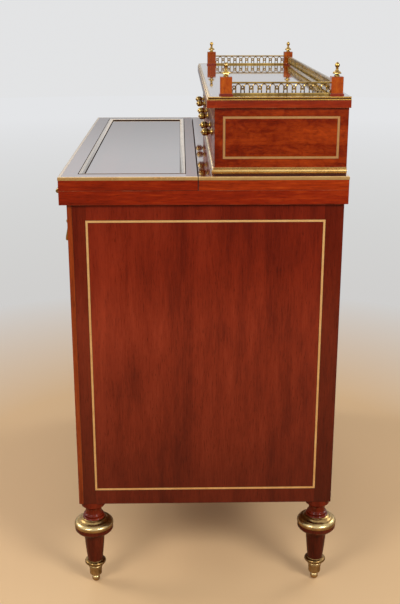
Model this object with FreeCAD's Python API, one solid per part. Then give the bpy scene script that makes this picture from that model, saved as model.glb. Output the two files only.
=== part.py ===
"""Secretary chest: a mahogany chest of drawers with a folding writing top and a small drawer unit on it.

Millimetres. +X is the right-hand end seen from the front, -Y is the front and +Z is up.
The origin is on the floor, below the middle of the table top.
"""
import FreeCAD, Part
import math
import os

Vector = FreeCAD.Vector
X_AXIS = Vector(1, 0, 0)
Y_AXIS = Vector(0, 1, 0)
Z_AXIS = Vector(0, 0, 1)

# Driving dimensions: table top
TOP_LENGTH = 811.0
TOP_DEPTH = 476.0
SLAB_THICK = 23.5
FLAP_THICK = 22.4
FLAP_DEPTH = 228.0
FLAP_GAP = 0.4            # air between the closed flap and the slab
SEAM_GAP = 1.2            # open seam between the flap and the fixed rear top
EDGE_BRASS_WIDE = 4.8
EDGE_BRASS_HIGH = 5.5
EDGE_BRASS_PROUD = 0.5
LEATHER_THICK = 1.2
LEATHER_MARGIN = 34.0
FRAME_MARGIN_END = 31.0   # flap end to the brass frame
FRAME_MARGIN_SEAM = 20.0
FRAME_WIDE = 8.8
FRAME_THICK = 4.0
PANEL_SUNK = 3.0          # flap surface down to its panel
PANEL_THICK = 5.0

# Driving dimensions: chest
CHEST_BOTTOM = 174.5
CHEST_HEIGHT = 556.0
SIDE_OVERHANG = 9.5
FRONT_OVERHANG = 11.5
BACK_OVERHANG = 5.0
SIDE_THICK = 18.0
BACK_THICK = 8.0
BOTTOM_THICK = 18.0
STILE_WIDTH = 28.0
STILE_DEPTH = 8.5
RAIL_HEIGHT = 14.0
RAIL_DEPTH = 60.0
BOTTOM_RAIL_HEIGHT = 24.0
BOTTOM_RAIL_DEPTH = 20.0
FRIEZE_HEIGHT = 100.0
PARTITION_THICK = 14.0
RUNNER_WIDTH = 28.0
GUIDE_HEIGHT = 14.0

# Driving dimensions: drawers
DRAWER_GAP = 0.8          # round each drawer front
RUN_GAP = 0.3             # under the drawer sides
DRAWER_FRONT_THICK = 17.0
DRAWER_BACK_SPACE = 18.0  # air behind a chest drawer
BOX_SIDE_THICK = 9.0
BOX_BOTTOM_THICK = 6.0
BOX_BOTTOM_LIFT = 8.0
BOX_DROP = 8.0            # drawer sides stop this far below the top of the front

# Driving dimensions: brass line inlay
LINE_THICK = 1.0
SIDE_LINE_MARGIN_DEEP = 30.2   # front and back edges of the side to its line
SIDE_LINE_MARGIN_HIGH = 28.0   # top and bottom edges of the side to its line
SIDE_LINE_WIDE = 3.5
GRADIN_LINE_MARGIN = 14.0
GRADIN_LINE_WIDE = 3.6
FRONT_LINE_MARGIN = 13.0
FRONT_LINE_WIDE = 3.2

# Driving dimensions: swinging pulls
PULL_SPAN = 84.0          # between the two posts
PULL_REACH = 9.0          # drawer front to the pivot
PULL_DROP = 38.0          # pivot to the grip
PULL_TILT = 10.0          # degrees that the hanging bail stands off, stopped by its posts
BAIL_RADIUS = 2.6
BAIL_END_BEND = 4.5
BAIL_GRIP_BEND = 9.0
PIVOT_RADIUS = 1.45
PIVOT_CLEARANCE = 0.05
POST_BALL_RADIUS = 4.6
POST_STEM_RADIUS = 3.0
POST_END_GAP = 0.4        # between a post and the bail beside it
ROSETTE_RADIUS = 11.0
ROSETTE_THICK = 2.5
STUD_RADIUS = 2.0
STUD_CLEARANCE = 0.1
NUT_SIZE = 9.0
NUT_THICK = 4.0
FRIEZE_PULL_RISE = -1.5   # pivot above the middle of the front
LONG_PULL_RISE = 14.0

# Driving dimensions: locks of the long drawers
LOCK_WIDTH = 50.0
LOCK_HEIGHT = 54.0
LOCK_DEPTH = 8.0
KEYHOLE_DROP = 30.0       # top of the front to the keyhole
KEYHOLE_RADIUS = 2.4
KEYHOLE_SLOT_WIDE = 2.2
KEYHOLE_SLOT_LONG = 8.0
ESCUTCHEON_HIGH = 32.0
ESCUTCHEON_WIDE = 20.0
ESCUTCHEON_THICK = 1.4

# Driving dimensions: upper drawer unit
GRADIN_HEIGHT = 109.7     # table top to the underside of the cornice
GRADIN_END_INSET = 11.0   # table end to the unit's end
GRADIN_FRONT = 255.0      # table front to the unit's front
GRADIN_BACK_INSET = 4.0
GRADIN_SIDE_THICK = 12.0
GRADIN_BACK_THICK = 8.0
GRADIN_FLOOR_THICK = 14.0
GRADIN_RAIL_HEIGHT = 12.0
GRADIN_FRAME_DEPTH = 14.0
GRADIN_STILE_WIDTH = 52.0
GRADIN_PARTITION = 12.0
GRADIN_DRAWER_SPACE = 8.0
KNOB_SPACING = 94.0
KNOB_HEAD_RADIUS = 6.2
KNOB_REACH = 19.0
KNOB_TANG_RADIUS = 1.6
KNOB_TANG_LONG = 10.0
BASE_MOULDING_LIFT = 2.8
BASE_MOULDING_HIGH = 10.6
BASE_MOULDING_OUT = 4.2
CORNICE_THICK = 17.5
CORNICE_END_OUT = 7.8     # past the unit's ends
CORNICE_FRONT_OUT = 12.5
CORNICE_BACK_OUT = 2.0
CORNICE_BRASS_HIGH = 5.5
CORNICE_BRASS_WIDE = 6.0

# Driving dimensions: gallery
POST_SIZE = 19.5
POST_HEIGHT = 29.3
POST_END_INSET = 25.5     # cornice end to the post
POST_FRONT_INSET = 22.0
POST_BACK_INSET = 10.0
GALLERY_HEIGHT = 21.0
GALLERY_THICK = 1.8
GALLERY_TOP_RAIL = 3.0
GALLERY_BOTTOM_RAIL = 3.4
GALLERY_PITCH = 14.6
GALLERY_BAR = 2.6
FINIAL_HEIGHT = 22.0
FINIAL_BASE_RADIUS = 5.8
TIP_RADIUS = 0.6          # small flat left on the turned tips

# Driving dimensions: feet
FOOT_INSET = 21.5         # ends and back of the chest to the foot axis
FOOT_FRONT_INSET = 23.5
RING_RADIUS = 35.2
RING_TOP_DROP = 37.0      # chest underside to the top of the brass ring
RING_HIGH = 16.0
RING_STEP_HIGH = 8.0      # rounded rim of the ring, below the dish that rises to the neck
RING_STEP_RADIUS = 30.8
RING_STEP_WIDE = 1.0
NECK_TOP_RADIUS = 22.0
NECK_RADIUS = 15.0
NECK_BEAD_HIGH = 9.0      # turned bead just above the ring
NECK_BEAD_OUT = 2.2
NECK_STRAIGHT_HIGH = 14.0
NECK_FLARE_HIGH = 30.0    # ring to the start of the straight collar
NECK_FLARE_SAG = 1.2
UNDER_RING_INSET = 0.4    # wood below the ring, inside its edge
UNDER_RING_LIP = 5.0
UNDER_RING_HIGH = 18.5
UNDER_RING_BOWL = 4.0     # how far the bowl has come in at a third of its height
SHAFT_TOP_RADIUS = 20.2
SHAFT_END_RADIUS = 13.6
SHAFT_SEAT = 1.5          # brass round the end of the shaft
SABOT_HIGH = 48.0
FLANGE_RADIUS = 19.5
CUP_RADIUS = 13.3
FERRULE_RADIUS = 10.0
BALL_RADIUS = 7.2
BALL_FLAT = 0.3           # depth cut off the ball where it stands
DOWEL_RADIUS = 8.0
DOWEL_DEPTH = 12.0
TENON_RADIUS = 6.0
TENON_DEPTH = 10.0
DOWEL_CLEARANCE = 0.05

# Driving dimensions: flap hinges
HINGE_LENGTH = 46.0
HINGE_END_INSET = 1.5     # table end to the hinge
HINGE_AXIS_OUT = 0.6      # hinge axis in front of the table edge
HINGE_LEAF_DEEP = 24.0
HINGE_LEAF_THICK = 2.0
KNUCKLE_RADIUS = 3.5
KNUCKLE_CLEARANCE = 0.4
KNUCKLE_GAP = 0.3
HINGE_PIN_RADIUS = 1.5
HINGE_PIN_CLEARANCE = 0.04

# Places worked out from the driving dimensions
top_half = TOP_LENGTH / 2
top_front = -TOP_DEPTH / 2
top_back = TOP_DEPTH / 2
slab_bottom = CHEST_BOTTOM + CHEST_HEIGHT
slab_top = slab_bottom + SLAB_THICK
flap_bottom = slab_top + FLAP_GAP
table_z = flap_bottom + FLAP_THICK
flap_back = top_front + FLAP_DEPTH
rear_front = flap_back + SEAM_GAP
chest_half = top_half - SIDE_OVERHANG
chest_front = top_front + FRONT_OVERHANG
chest_back = top_back - BACK_OVERHANG
inner_half = chest_half - SIDE_THICK
opening_half = chest_half - STILE_WIDTH
inner_back = chest_back - BACK_THICK
frieze_floor = slab_bottom - FRIEZE_HEIGHT
bottom_rail_top = CHEST_BOTTOM + BOTTOM_RAIL_HEIGHT
long_height = (frieze_floor - RAIL_HEIGHT - bottom_rail_top - RAIL_HEIGHT) / 2
middle_rail_bottom = bottom_rail_top + long_height
frieze_width = (2 * opening_half - 2 * PARTITION_THICK) / 3
frieze_pitch = frieze_width + PARTITION_THICK
drawer_back = inner_back - DRAWER_BACK_SPACE
gradin_half = top_half - GRADIN_END_INSET
gradin_front = top_front + GRADIN_FRONT
gradin_back = top_back - GRADIN_BACK_INSET
gradin_floor_z = table_z + GRADIN_FLOOR_THICK
gradin_rail_z = table_z + GRADIN_HEIGHT - GRADIN_RAIL_HEIGHT
gradin_top = table_z + GRADIN_HEIGHT
gradin_opening_half = gradin_half - GRADIN_STILE_WIDTH
gradin_width = (2 * gradin_opening_half - 2 * GRADIN_PARTITION) / 3
gradin_pitch = gradin_width + GRADIN_PARTITION
gradin_inner_back = gradin_back - GRADIN_BACK_THICK
cornice_half = gradin_half + CORNICE_END_OUT
cornice_front = gradin_front - CORNICE_FRONT_OUT
cornice_back = gradin_back + CORNICE_BACK_OUT
cornice_top = gradin_top + CORNICE_THICK
hinge_axis_y = top_front - HINGE_AXIS_OUT
hinge_axis_z = slab_top + FLAP_GAP / 2
THREE_ACROSS = {"left": -1, "middle": 0, "right": 1}


def box(x0, x1, y0, y1, z0, z1):
    """Square board between the given limits."""
    return Part.makeBox(x1 - x0, y1 - y0, z1 - z0, Vector(x0, y0, z0))


def both_ends(shapes):
    """The shapes and their mirror images across the middle of the chest."""
    return shapes + [shape.mirror(Vector(), X_AXIS) for shape in shapes]


def cut_away(shape, tools):
    """The shape without the space of every tool."""
    return shape.cut(Part.makeCompound(tools))


def rod(radius, start, along, length):
    """Round rod from a start point."""
    return Part.makeCylinder(radius, length, start, along)


def turned(steps):
    """Lathe-turned solid about Z. A step is (radius, z), or (radius, z, mid radius, mid z) for an arc."""
    edges = []
    first = Vector(0, 0, steps[0][1])
    last = first
    for step in steps:
        here = Vector(step[0], 0, step[1])
        if len(step) == 4:
            edges.append(Part.Arc(last, Vector(step[2], 0, step[3]), here).toShape())
        else:
            edges.append(Part.makeLine(last, here))
        last = here
    if last.x > 0:
        edges.append(Part.makeLine(last, Vector(0, 0, last.z)))
    edges.append(Part.makeLine(Vector(0, 0, last.z), first))
    return Part.Face(Part.Wire(edges)).revolve(Vector(), Z_AXIS, 360)


def mitred_strips(corner, across, up, size_across, size_up, width, depth):
    """Four mitred strips round a rectangle: corner is its outer corner, depth the strips' thickness."""
    outer = []
    inner = []
    for right, top in ((0, 0), (1, 0), (1, 1), (0, 1)):
        outer.append(corner + across * (right * size_across) + up * (top * size_up))
        inset_across = width + right * (size_across - 2 * width)
        inset_up = width + top * (size_up - 2 * width)
        inner.append(corner + across * inset_across + up * inset_up)
    strips = []
    for k in range(4):
        n = (k + 1) % 4
        outline = Part.makePolygon([outer[k], outer[n], inner[n], inner[k], outer[k]])
        strips.append(Part.Face(outline).extrude(depth))
    return strips


def mitred_moulding(profile, corners):
    """One length of moulding per leg of a path; profile points are (outward, z), outward to the right."""
    normals = []
    for a, b in zip(corners, corners[1:]):
        leg = Vector(b[0] - a[0], b[1] - a[1], 0).normalize()
        normals.append(Vector(leg.y, -leg.x, 0))
    sections = []
    for k, (x, y) in enumerate(corners):
        outward = Vector()
        if k > 0:
            outward = outward + normals[k - 1]
        if k < len(normals):
            outward = outward + normals[k]
        points = [Vector(x, y, z) + outward * out for out, z in profile]
        sections.append(Part.makePolygon(points + points[:1]))
    return [Part.makeLoft([a, b], True, True) for a, b in zip(sections, sections[1:])]


def export(name, shapes):
    """Write one node, after checking that each of its solids is sound."""
    for shape in shapes:
        if not shape.isValid() or len(shape.Solids) != 1 or shape.Volume <= 0:
            raise ValueError(f"{name} has a solid that is not sound")
    whole = shapes[0] if len(shapes) == 1 else Part.makeCompound(shapes)
    whole.exportStep(f"parts/{name}.step")


def side_line_strips():
    """Brass line on the outside of the right-hand side panel."""
    corner = Vector(chest_half, chest_front + SIDE_LINE_MARGIN_DEEP, CHEST_BOTTOM + SIDE_LINE_MARGIN_HIGH)
    deep = chest_back - chest_front - 2 * SIDE_LINE_MARGIN_DEEP
    high = CHEST_HEIGHT - 2 * SIDE_LINE_MARGIN_HIGH
    return mitred_strips(corner, Y_AXIS, Z_AXIS, deep, high, SIDE_LINE_WIDE, X_AXIS * -LINE_THICK)


def gradin_line_strips():
    """Brass line on the outside of the upper unit's right-hand end."""
    bottom = table_z + BASE_MOULDING_LIFT + BASE_MOULDING_HIGH + GRADIN_LINE_MARGIN
    corner = Vector(gradin_half, gradin_front + GRADIN_LINE_MARGIN, bottom)
    deep = gradin_back - gradin_front - 2 * GRADIN_LINE_MARGIN
    high = gradin_top - GRADIN_LINE_MARGIN - bottom
    return mitred_strips(corner, Y_AXIS, Z_AXIS, deep, high, GRADIN_LINE_WIDE, X_AXIS * -LINE_THICK)


def make_carcase():
    """Fixed boards of the chest."""
    side = box(inner_half, chest_half, chest_front + STILE_DEPTH, chest_back, CHEST_BOTTOM, slab_bottom)
    export("side_panels", both_ends([cut_away(side, side_line_strips())]))
    export("end_stringing", both_ends(side_line_strips() + gradin_line_strips()))
    export("back_panel", [box(-inner_half, inner_half, inner_back, chest_back, CHEST_BOTTOM, slab_bottom)])
    bottom_front = chest_front + BOTTOM_RAIL_DEPTH
    bottom_top = CHEST_BOTTOM + BOTTOM_THICK
    export("bottom_board", [box(-inner_half, inner_half, bottom_front, inner_back, CHEST_BOTTOM, bottom_top)])

    stile_back = chest_front + STILE_DEPTH
    stile = box(opening_half, chest_half, chest_front, stile_back, CHEST_BOTTOM, slab_bottom)
    frame = both_ends([stile])
    rails = [
        (CHEST_BOTTOM, bottom_rail_top, BOTTOM_RAIL_DEPTH),
        (middle_rail_bottom, middle_rail_bottom + RAIL_HEIGHT, RAIL_DEPTH),
        (frieze_floor - RAIL_HEIGHT, frieze_floor, RAIL_DEPTH),
    ]
    for z0, z1, deep in rails:
        face = box(-opening_half, opening_half, chest_front, stile_back, z0, z1)
        behind = box(-inner_half, inner_half, stile_back, chest_front + deep, z0, z1)
        frame.append(face.fuse(behind).removeSplitter())
    export("front_frame", frame)

    partition_x = frieze_pitch / 2
    partition = box(partition_x - PARTITION_THICK / 2, partition_x + PARTITION_THICK / 2,
                    chest_front, inner_back, frieze_floor, slab_bottom)
    export("frieze_partitions", both_ends([partition]))

    runners = []
    runner_front = chest_front + RAIL_DEPTH
    guide_inner = opening_half - DRAWER_GAP + RUN_GAP
    for z0, z1, front in (
        (bottom_top, bottom_rail_top, bottom_front),
        (middle_rail_bottom, middle_rail_bottom + RAIL_HEIGHT, runner_front),
        (frieze_floor - RAIL_HEIGHT, frieze_floor, runner_front),
    ):
        runners.append(box(inner_half - RUNNER_WIDTH, inner_half, front, inner_back, z0, z1))
        runners.append(box(guide_inner, inner_half, stile_back, inner_back, z1, z1 + GUIDE_HEIGHT))
    runners.append(box(partition_x - RUNNER_WIDTH, partition_x + RUNNER_WIDTH,
                       runner_front, inner_back, frieze_floor - RAIL_HEIGHT, frieze_floor))
    export("drawer_runners", both_ends(runners))


def hinge_barrel(radius, x0, x1):
    """Round bar on the flap's hinge axis."""
    return rod(radius, Vector(x0, hinge_axis_y, hinge_axis_z), X_AXIS, x1 - x0)


def hinge_knuckles():
    """Start and end of the three knuckles of the right-hand hinge."""
    start = top_half - HINGE_END_INSET - HINGE_LENGTH
    long = (HINGE_LENGTH - 2 * KNUCKLE_GAP) / 3
    return [(start + k * (long + KNUCKLE_GAP), start + k * (long + KNUCKLE_GAP) + long) for k in range(3)]


def hinge_leaf(z0, z1, own, others):
    """Hinge leaf lying between two heights, with its own knuckles and room for the others."""
    spans = hinge_knuckles()
    leaf = box(spans[0][0], spans[2][1], hinge_axis_y, top_front + HINGE_LEAF_DEEP, z0, z1)
    room = KNUCKLE_RADIUS + KNUCKLE_CLEARANCE
    for k in others:
        leaf = leaf.cut(hinge_barrel(room, spans[k][0] - KNUCKLE_GAP, spans[k][1] + KNUCKLE_GAP))
    for k in own:
        leaf = leaf.fuse(hinge_barrel(KNUCKLE_RADIUS, spans[k][0], spans[k][1]))
    bore = hinge_barrel(HINGE_PIN_RADIUS + HINGE_PIN_CLEARANCE, spans[0][0], spans[2][1])
    return leaf.cut(bore).removeSplitter()


def hinge_room(z0, z1):
    """Space that a hinge leaf and the barrel need in the wood at both ends."""
    spans = hinge_knuckles()
    leaf = box(spans[0][0], spans[2][1], hinge_axis_y, top_front + HINGE_LEAF_DEEP, z0, z1)
    room = KNUCKLE_RADIUS + KNUCKLE_CLEARANCE
    barrel = hinge_barrel(room, spans[0][0] - KNUCKLE_GAP, spans[2][1] + KNUCKLE_GAP)
    return both_ends([leaf, barrel])


def edge_brass(corners):
    """Brass strip let into the top edge of a table board, with its outer corner eased."""
    low = table_z - EDGE_BRASS_HIGH
    ease = EDGE_BRASS_PROUD * 2
    return mitred_moulding([
        (-EDGE_BRASS_WIDE, low),
        (EDGE_BRASS_PROUD, low),
        (EDGE_BRASS_PROUD, table_z - ease),
        (EDGE_BRASS_PROUD - ease, table_z),
        (-EDGE_BRASS_WIDE, table_z),
    ], corners)


def edge_rabbet(corners):
    """Step cut in a table board's top edge for its brass strip."""
    low = table_z - EDGE_BRASS_HIGH
    return mitred_moulding([
        (-EDGE_BRASS_WIDE, low),
        (EDGE_BRASS_WIDE, low),
        (EDGE_BRASS_WIDE, table_z + EDGE_BRASS_HIGH),
        (-EDGE_BRASS_WIDE, table_z + EDGE_BRASS_HIGH),
    ], corners)


def leather_sheet(z0, z1):
    """Writing leather inside the flap's outline."""
    return box(-top_half + LEATHER_MARGIN, top_half - LEATHER_MARGIN,
               top_front + LEATHER_MARGIN, flap_back - LEATHER_MARGIN, z0, z1)


def make_table_top():
    """Slab, fixed rear top, folding flap and the two hinges."""
    slab_leather = leather_sheet(slab_top - LEATHER_THICK, slab_top)
    slab_leaf = (slab_top - HINGE_LEAF_THICK, slab_top)
    slab = box(-top_half, top_half, top_front, top_back, slab_bottom, slab_top)
    export("table_top", [cut_away(slab, [slab_leather] + hinge_room(*slab_leaf))])
    export("table_leather", [slab_leather])

    rear_path = [(top_half, rear_front), (top_half, top_back), (-top_half, top_back), (-top_half, rear_front)]
    rear = box(-top_half, top_half, rear_front, top_back, slab_top, table_z)
    export("rear_top", [cut_away(rear, edge_rabbet(rear_path))])
    export("rear_edge_brass", edge_brass(rear_path))

    flap_path = [(-top_half, flap_back), (-top_half, top_front), (top_half, top_front), (top_half, flap_back)]
    flap_leather = leather_sheet(flap_bottom, flap_bottom + LEATHER_THICK)
    frame_corner = Vector(-top_half + FRAME_MARGIN_END, top_front + FRAME_MARGIN_END, table_z)
    frame_long = TOP_LENGTH - 2 * FRAME_MARGIN_END
    frame_deep = FLAP_DEPTH - FRAME_MARGIN_END - FRAME_MARGIN_SEAM
    down = Z_AXIS * -FRAME_THICK
    frame = mitred_strips(frame_corner, X_AXIS, Y_AXIS, frame_long, frame_deep, FRAME_WIDE, down)
    panel_x = top_half - FRAME_MARGIN_END - FRAME_WIDE
    panel_front = top_front + FRAME_MARGIN_END + FRAME_WIDE
    panel_back = flap_back - FRAME_MARGIN_SEAM - FRAME_WIDE
    panel_top = table_z - PANEL_SUNK
    panel = box(-panel_x, panel_x, panel_front, panel_back, panel_top - PANEL_THICK, panel_top)
    panel_well = box(-panel_x, panel_x, panel_front, panel_back, panel_top - PANEL_THICK, table_z)
    flap_leaf = (flap_bottom, flap_bottom + HINGE_LEAF_THICK)
    flap = box(-top_half, top_half, top_front, flap_back, flap_bottom, table_z)
    rooms = [flap_leather, panel_well] + frame + edge_rabbet(flap_path) + hinge_room(*flap_leaf)
    export("flap_board", [cut_away(flap, rooms)])
    export("flap_panel", [panel])
    export("flap_brass_frame", frame)
    export("flap_edge_brass", edge_brass(flap_path))
    export("flap_leather", [flap_leather])

    export("hinge_table_leaves", both_ends([hinge_leaf(*slab_leaf, own=(0, 2), others=(1,))]))
    export("hinge_flap_leaves", both_ends([hinge_leaf(*flap_leaf, own=(1,), others=(0, 2))]))
    spans = hinge_knuckles()
    export("hinge_pins", both_ends([hinge_barrel(HINGE_PIN_RADIUS, spans[0][0], spans[2][1])]))


def front_line_strips(x0, x1, front, z0, z1):
    """Brass line in the face of a drawer front."""
    corner = Vector(x0 + FRONT_LINE_MARGIN, front, z0 + FRONT_LINE_MARGIN)
    wide = x1 - x0 - 2 * FRONT_LINE_MARGIN
    high = z1 - z0 - 2 * FRONT_LINE_MARGIN
    return mitred_strips(corner, X_AXIS, Z_AXIS, wide, high, FRONT_LINE_WIDE, Y_AXIS * LINE_THICK)


def drawer_boards(x0, x1, front, back, z0, z1):
    """Front board and the four boards of the box of a drawer that fills an opening."""
    left = x0 + DRAWER_GAP
    right = x1 - DRAWER_GAP
    low = z0 + RUN_GAP
    face_back = front + DRAWER_FRONT_THICK
    face = box(left, right, front, face_back, z0 + DRAWER_GAP, z1 - DRAWER_GAP)
    side_top = z1 - DRAWER_GAP - BOX_DROP
    floor_low = low + BOX_BOTTOM_LIFT
    floor_top = floor_low + BOX_BOTTOM_THICK
    inner_left = left + BOX_SIDE_THICK
    inner_right = right - BOX_SIDE_THICK
    boards = [
        box(left, inner_left, face_back, back, low, side_top),
        box(inner_right, right, face_back, back, low, side_top),
        box(inner_left, inner_right, face_back, back, floor_low, floor_top),
        box(inner_left, inner_right, back - BOX_SIDE_THICK, back, floor_top, side_top),
    ]
    return face, boards


def pull_post(x, front, z):
    """Rosette, stem and eye of one pull post, with its stud through the drawer front."""
    rosette = turned([
        (ROSETTE_RADIUS, 0),
        (ROSETTE_RADIUS, ROSETTE_THICK * 0.4),
        (POST_STEM_RADIUS, ROSETTE_THICK),
        (POST_STEM_RADIUS, PULL_REACH),
    ])
    eye = Part.makeSphere(POST_BALL_RADIUS, Vector(0, 0, PULL_REACH))
    stud_long = DRAWER_FRONT_THICK + NUT_THICK
    stud = rod(STUD_RADIUS, Vector(0, 0, -stud_long), Z_AXIS, stud_long)
    bore_start = Vector(-POST_BALL_RADIUS, 0, PULL_REACH)
    bore = rod(PIVOT_RADIUS + PIVOT_CLEARANCE, bore_start, X_AXIS, 2 * POST_BALL_RADIUS)
    post = rosette.fuse([eye, stud]).cut(bore).removeSplitter()
    post.rotate(Vector(), X_AXIS, 90)
    post.translate(Vector(x, front, z))
    return post


def pull_nut(x, front, z):
    """Square nut behind the drawer front."""
    back = front + DRAWER_FRONT_THICK
    half = NUT_SIZE / 2
    nut = box(x - half, x + half, back, back + NUT_THICK, z - half, z + half)
    return nut.cut(rod(STUD_RADIUS + STUD_CLEARANCE, Vector(x, back, z), Y_AXIS, NUT_THICK))


def stud_hole(x, front, z):
    """Hole through the drawer front for one stud."""
    return rod(STUD_RADIUS + STUD_CLEARANCE, Vector(x, front, z), Y_AXIS, DRAWER_FRONT_THICK)


def bail(x, front, z):
    """Swinging bail: round bar bent down from both posts, with pivots that turn in their eyes."""
    start = PULL_SPAN / 2 - POST_BALL_RADIUS - POST_END_GAP
    arm = start - BAIL_END_BEND
    grip = arm - BAIL_GRIP_BEND
    low = -PULL_DROP
    slant = math.sqrt(0.5)

    def at(px, pz):
        return Vector(px, 0, pz)

    end_mid = at(start - BAIL_END_BEND * slant, -BAIL_END_BEND * (1 - slant))
    grip_mid = at(grip + BAIL_GRIP_BEND * slant, low + BAIL_GRIP_BEND * (1 - slant))
    right = [
        Part.Arc(at(start, 0), end_mid, at(arm, -BAIL_END_BEND)).toShape(),
        Part.makeLine(at(arm, -BAIL_END_BEND), at(arm, low + BAIL_GRIP_BEND)),
        Part.Arc(at(arm, low + BAIL_GRIP_BEND), grip_mid, at(grip, low)).toShape(),
    ]
    left = [edge.mirror(Vector(), X_AXIS) for edge in right]
    path = Part.Wire(Part.__sortEdges__(right + [Part.makeLine(at(grip, low), at(-grip, low))] + left))
    section = Part.Wire(Part.makeCircle(BAIL_RADIUS, at(start, 0), X_AXIS))
    bar = path.makePipeShell([section], True, True)
    pivot_long = PULL_SPAN / 2 + POST_BALL_RADIUS * 0.5 - start
    pivot = rod(PIVOT_RADIUS, at(start, 0), X_AXIS, pivot_long)
    shape = bar.fuse(both_ends([pivot])).removeSplitter()
    shape.rotate(Vector(), X_AXIS, -PULL_TILT)
    shape.translate(Vector(x, front - PULL_REACH, z))
    return shape


def keyhole(x, front, z, deep):
    """Keyhole shape cut back from the drawer face."""
    round_part = rod(KEYHOLE_RADIUS, Vector(x, front, z), Y_AXIS, deep)
    half = KEYHOLE_SLOT_WIDE / 2
    return round_part.fuse(box(x - half, x + half, front, front + deep, z - KEYHOLE_SLOT_LONG, z))


def make_pulls(centres, front, z):
    """Posts, nuts and stud holes of the pulls at the given centres."""
    places = [centre + side * PULL_SPAN / 2 for centre in centres for side in (-1, 1)]
    fittings = [pull_post(x, front, z) for x in places] + [pull_nut(x, front, z) for x in places]
    holes = [stud_hole(x, front, z) for x in places]
    return fittings, holes


def make_frieze_drawers():
    """Three small drawers directly under the table."""
    for name, place in THREE_ACROSS.items():
        middle = place * frieze_pitch
        x0 = middle - frieze_width / 2
        x1 = middle + frieze_width / 2
        face, boards = drawer_boards(x0, x1, chest_front, drawer_back, frieze_floor, slab_bottom)
        pull_z = (frieze_floor + slab_bottom) / 2 + FRIEZE_PULL_RISE
        fittings, holes = make_pulls([middle], chest_front, pull_z)
        lines = front_line_strips(x0, x1, chest_front, frieze_floor, slab_bottom)
        export(f"frieze_{name}_front", [cut_away(face, holes + lines)])
        export(f"frieze_{name}_box", boards)
        export(f"frieze_{name}_brass", lines + fittings)
        export(f"frieze_{name}_bail", [bail(middle, chest_front, pull_z)])


def make_long_drawers():
    """Two long drawers, each with a lock and two pulls at the quarter points."""
    for name, z0 in (("lower", bottom_rail_top), ("upper", middle_rail_bottom + RAIL_HEIGHT)):
        z1 = z0 + long_height
        face, boards = drawer_boards(-opening_half, opening_half, chest_front, drawer_back, z0, z1)
        face_top = z1 - DRAWER_GAP
        face_back = chest_front + DRAWER_FRONT_THICK
        pull_z = (z0 + z1) / 2 + LONG_PULL_RISE
        pull_x = opening_half / 2
        fittings, holes = make_pulls([-pull_x, pull_x], chest_front, pull_z)
        lines = front_line_strips(-opening_half, opening_half, chest_front, z0, z1)

        key_z = face_top - KEYHOLE_DROP
        lock_half = LOCK_WIDTH / 2
        lock = box(-lock_half, lock_half, face_back - LOCK_DEPTH, face_back, face_top - LOCK_HEIGHT, face_top)
        oval = Part.Ellipse(Vector(), ESCUTCHEON_HIGH / 2, ESCUTCHEON_WIDE / 2).toShape()
        plate = Part.Face(Part.Wire(oval)).extrude(Z_AXIS * ESCUTCHEON_THICK)
        plate.rotate(Vector(), Z_AXIS, 90)
        plate.rotate(Vector(), X_AXIS, 90)
        plate.translate(Vector(0, chest_front, key_z))
        plate_front = chest_front - ESCUTCHEON_THICK
        plate = plate.cut(keyhole(0, plate_front, key_z, ESCUTCHEON_THICK))
        key_way = keyhole(0, chest_front, key_z, DRAWER_FRONT_THICK - LOCK_DEPTH)

        export(f"long_{name}_front", [cut_away(face, holes + lines + [lock, key_way])])
        export(f"long_{name}_box", boards)
        export(f"long_{name}_brass", lines + fittings + [plate, lock])
        export(f"long_{name}_bail_left", [bail(-pull_x, chest_front, pull_z)])
        export(f"long_{name}_bail_right", [bail(pull_x, chest_front, pull_z)])


def knob(x, front, z):
    """Small turned knob with its tang in the drawer front."""
    shape = turned([
        (KNOB_TANG_RADIUS, -KNOB_TANG_LONG),
        (KNOB_TANG_RADIUS, 0),
        (KNOB_HEAD_RADIUS, 0),
        (KNOB_HEAD_RADIUS, KNOB_REACH * 0.08),
        (KNOB_HEAD_RADIUS * 0.55, KNOB_REACH * 0.16),
        (KNOB_HEAD_RADIUS * 0.55, KNOB_REACH * 0.26),
        (KNOB_HEAD_RADIUS, KNOB_REACH * 0.6, KNOB_HEAD_RADIUS * 0.88, KNOB_REACH * 0.4),
        (TIP_RADIUS, KNOB_REACH, KNOB_HEAD_RADIUS * 0.8, KNOB_REACH * 0.86),
    ])
    shape.rotate(Vector(), X_AXIS, 90)
    shape.translate(Vector(x, front, z))
    return shape


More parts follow.
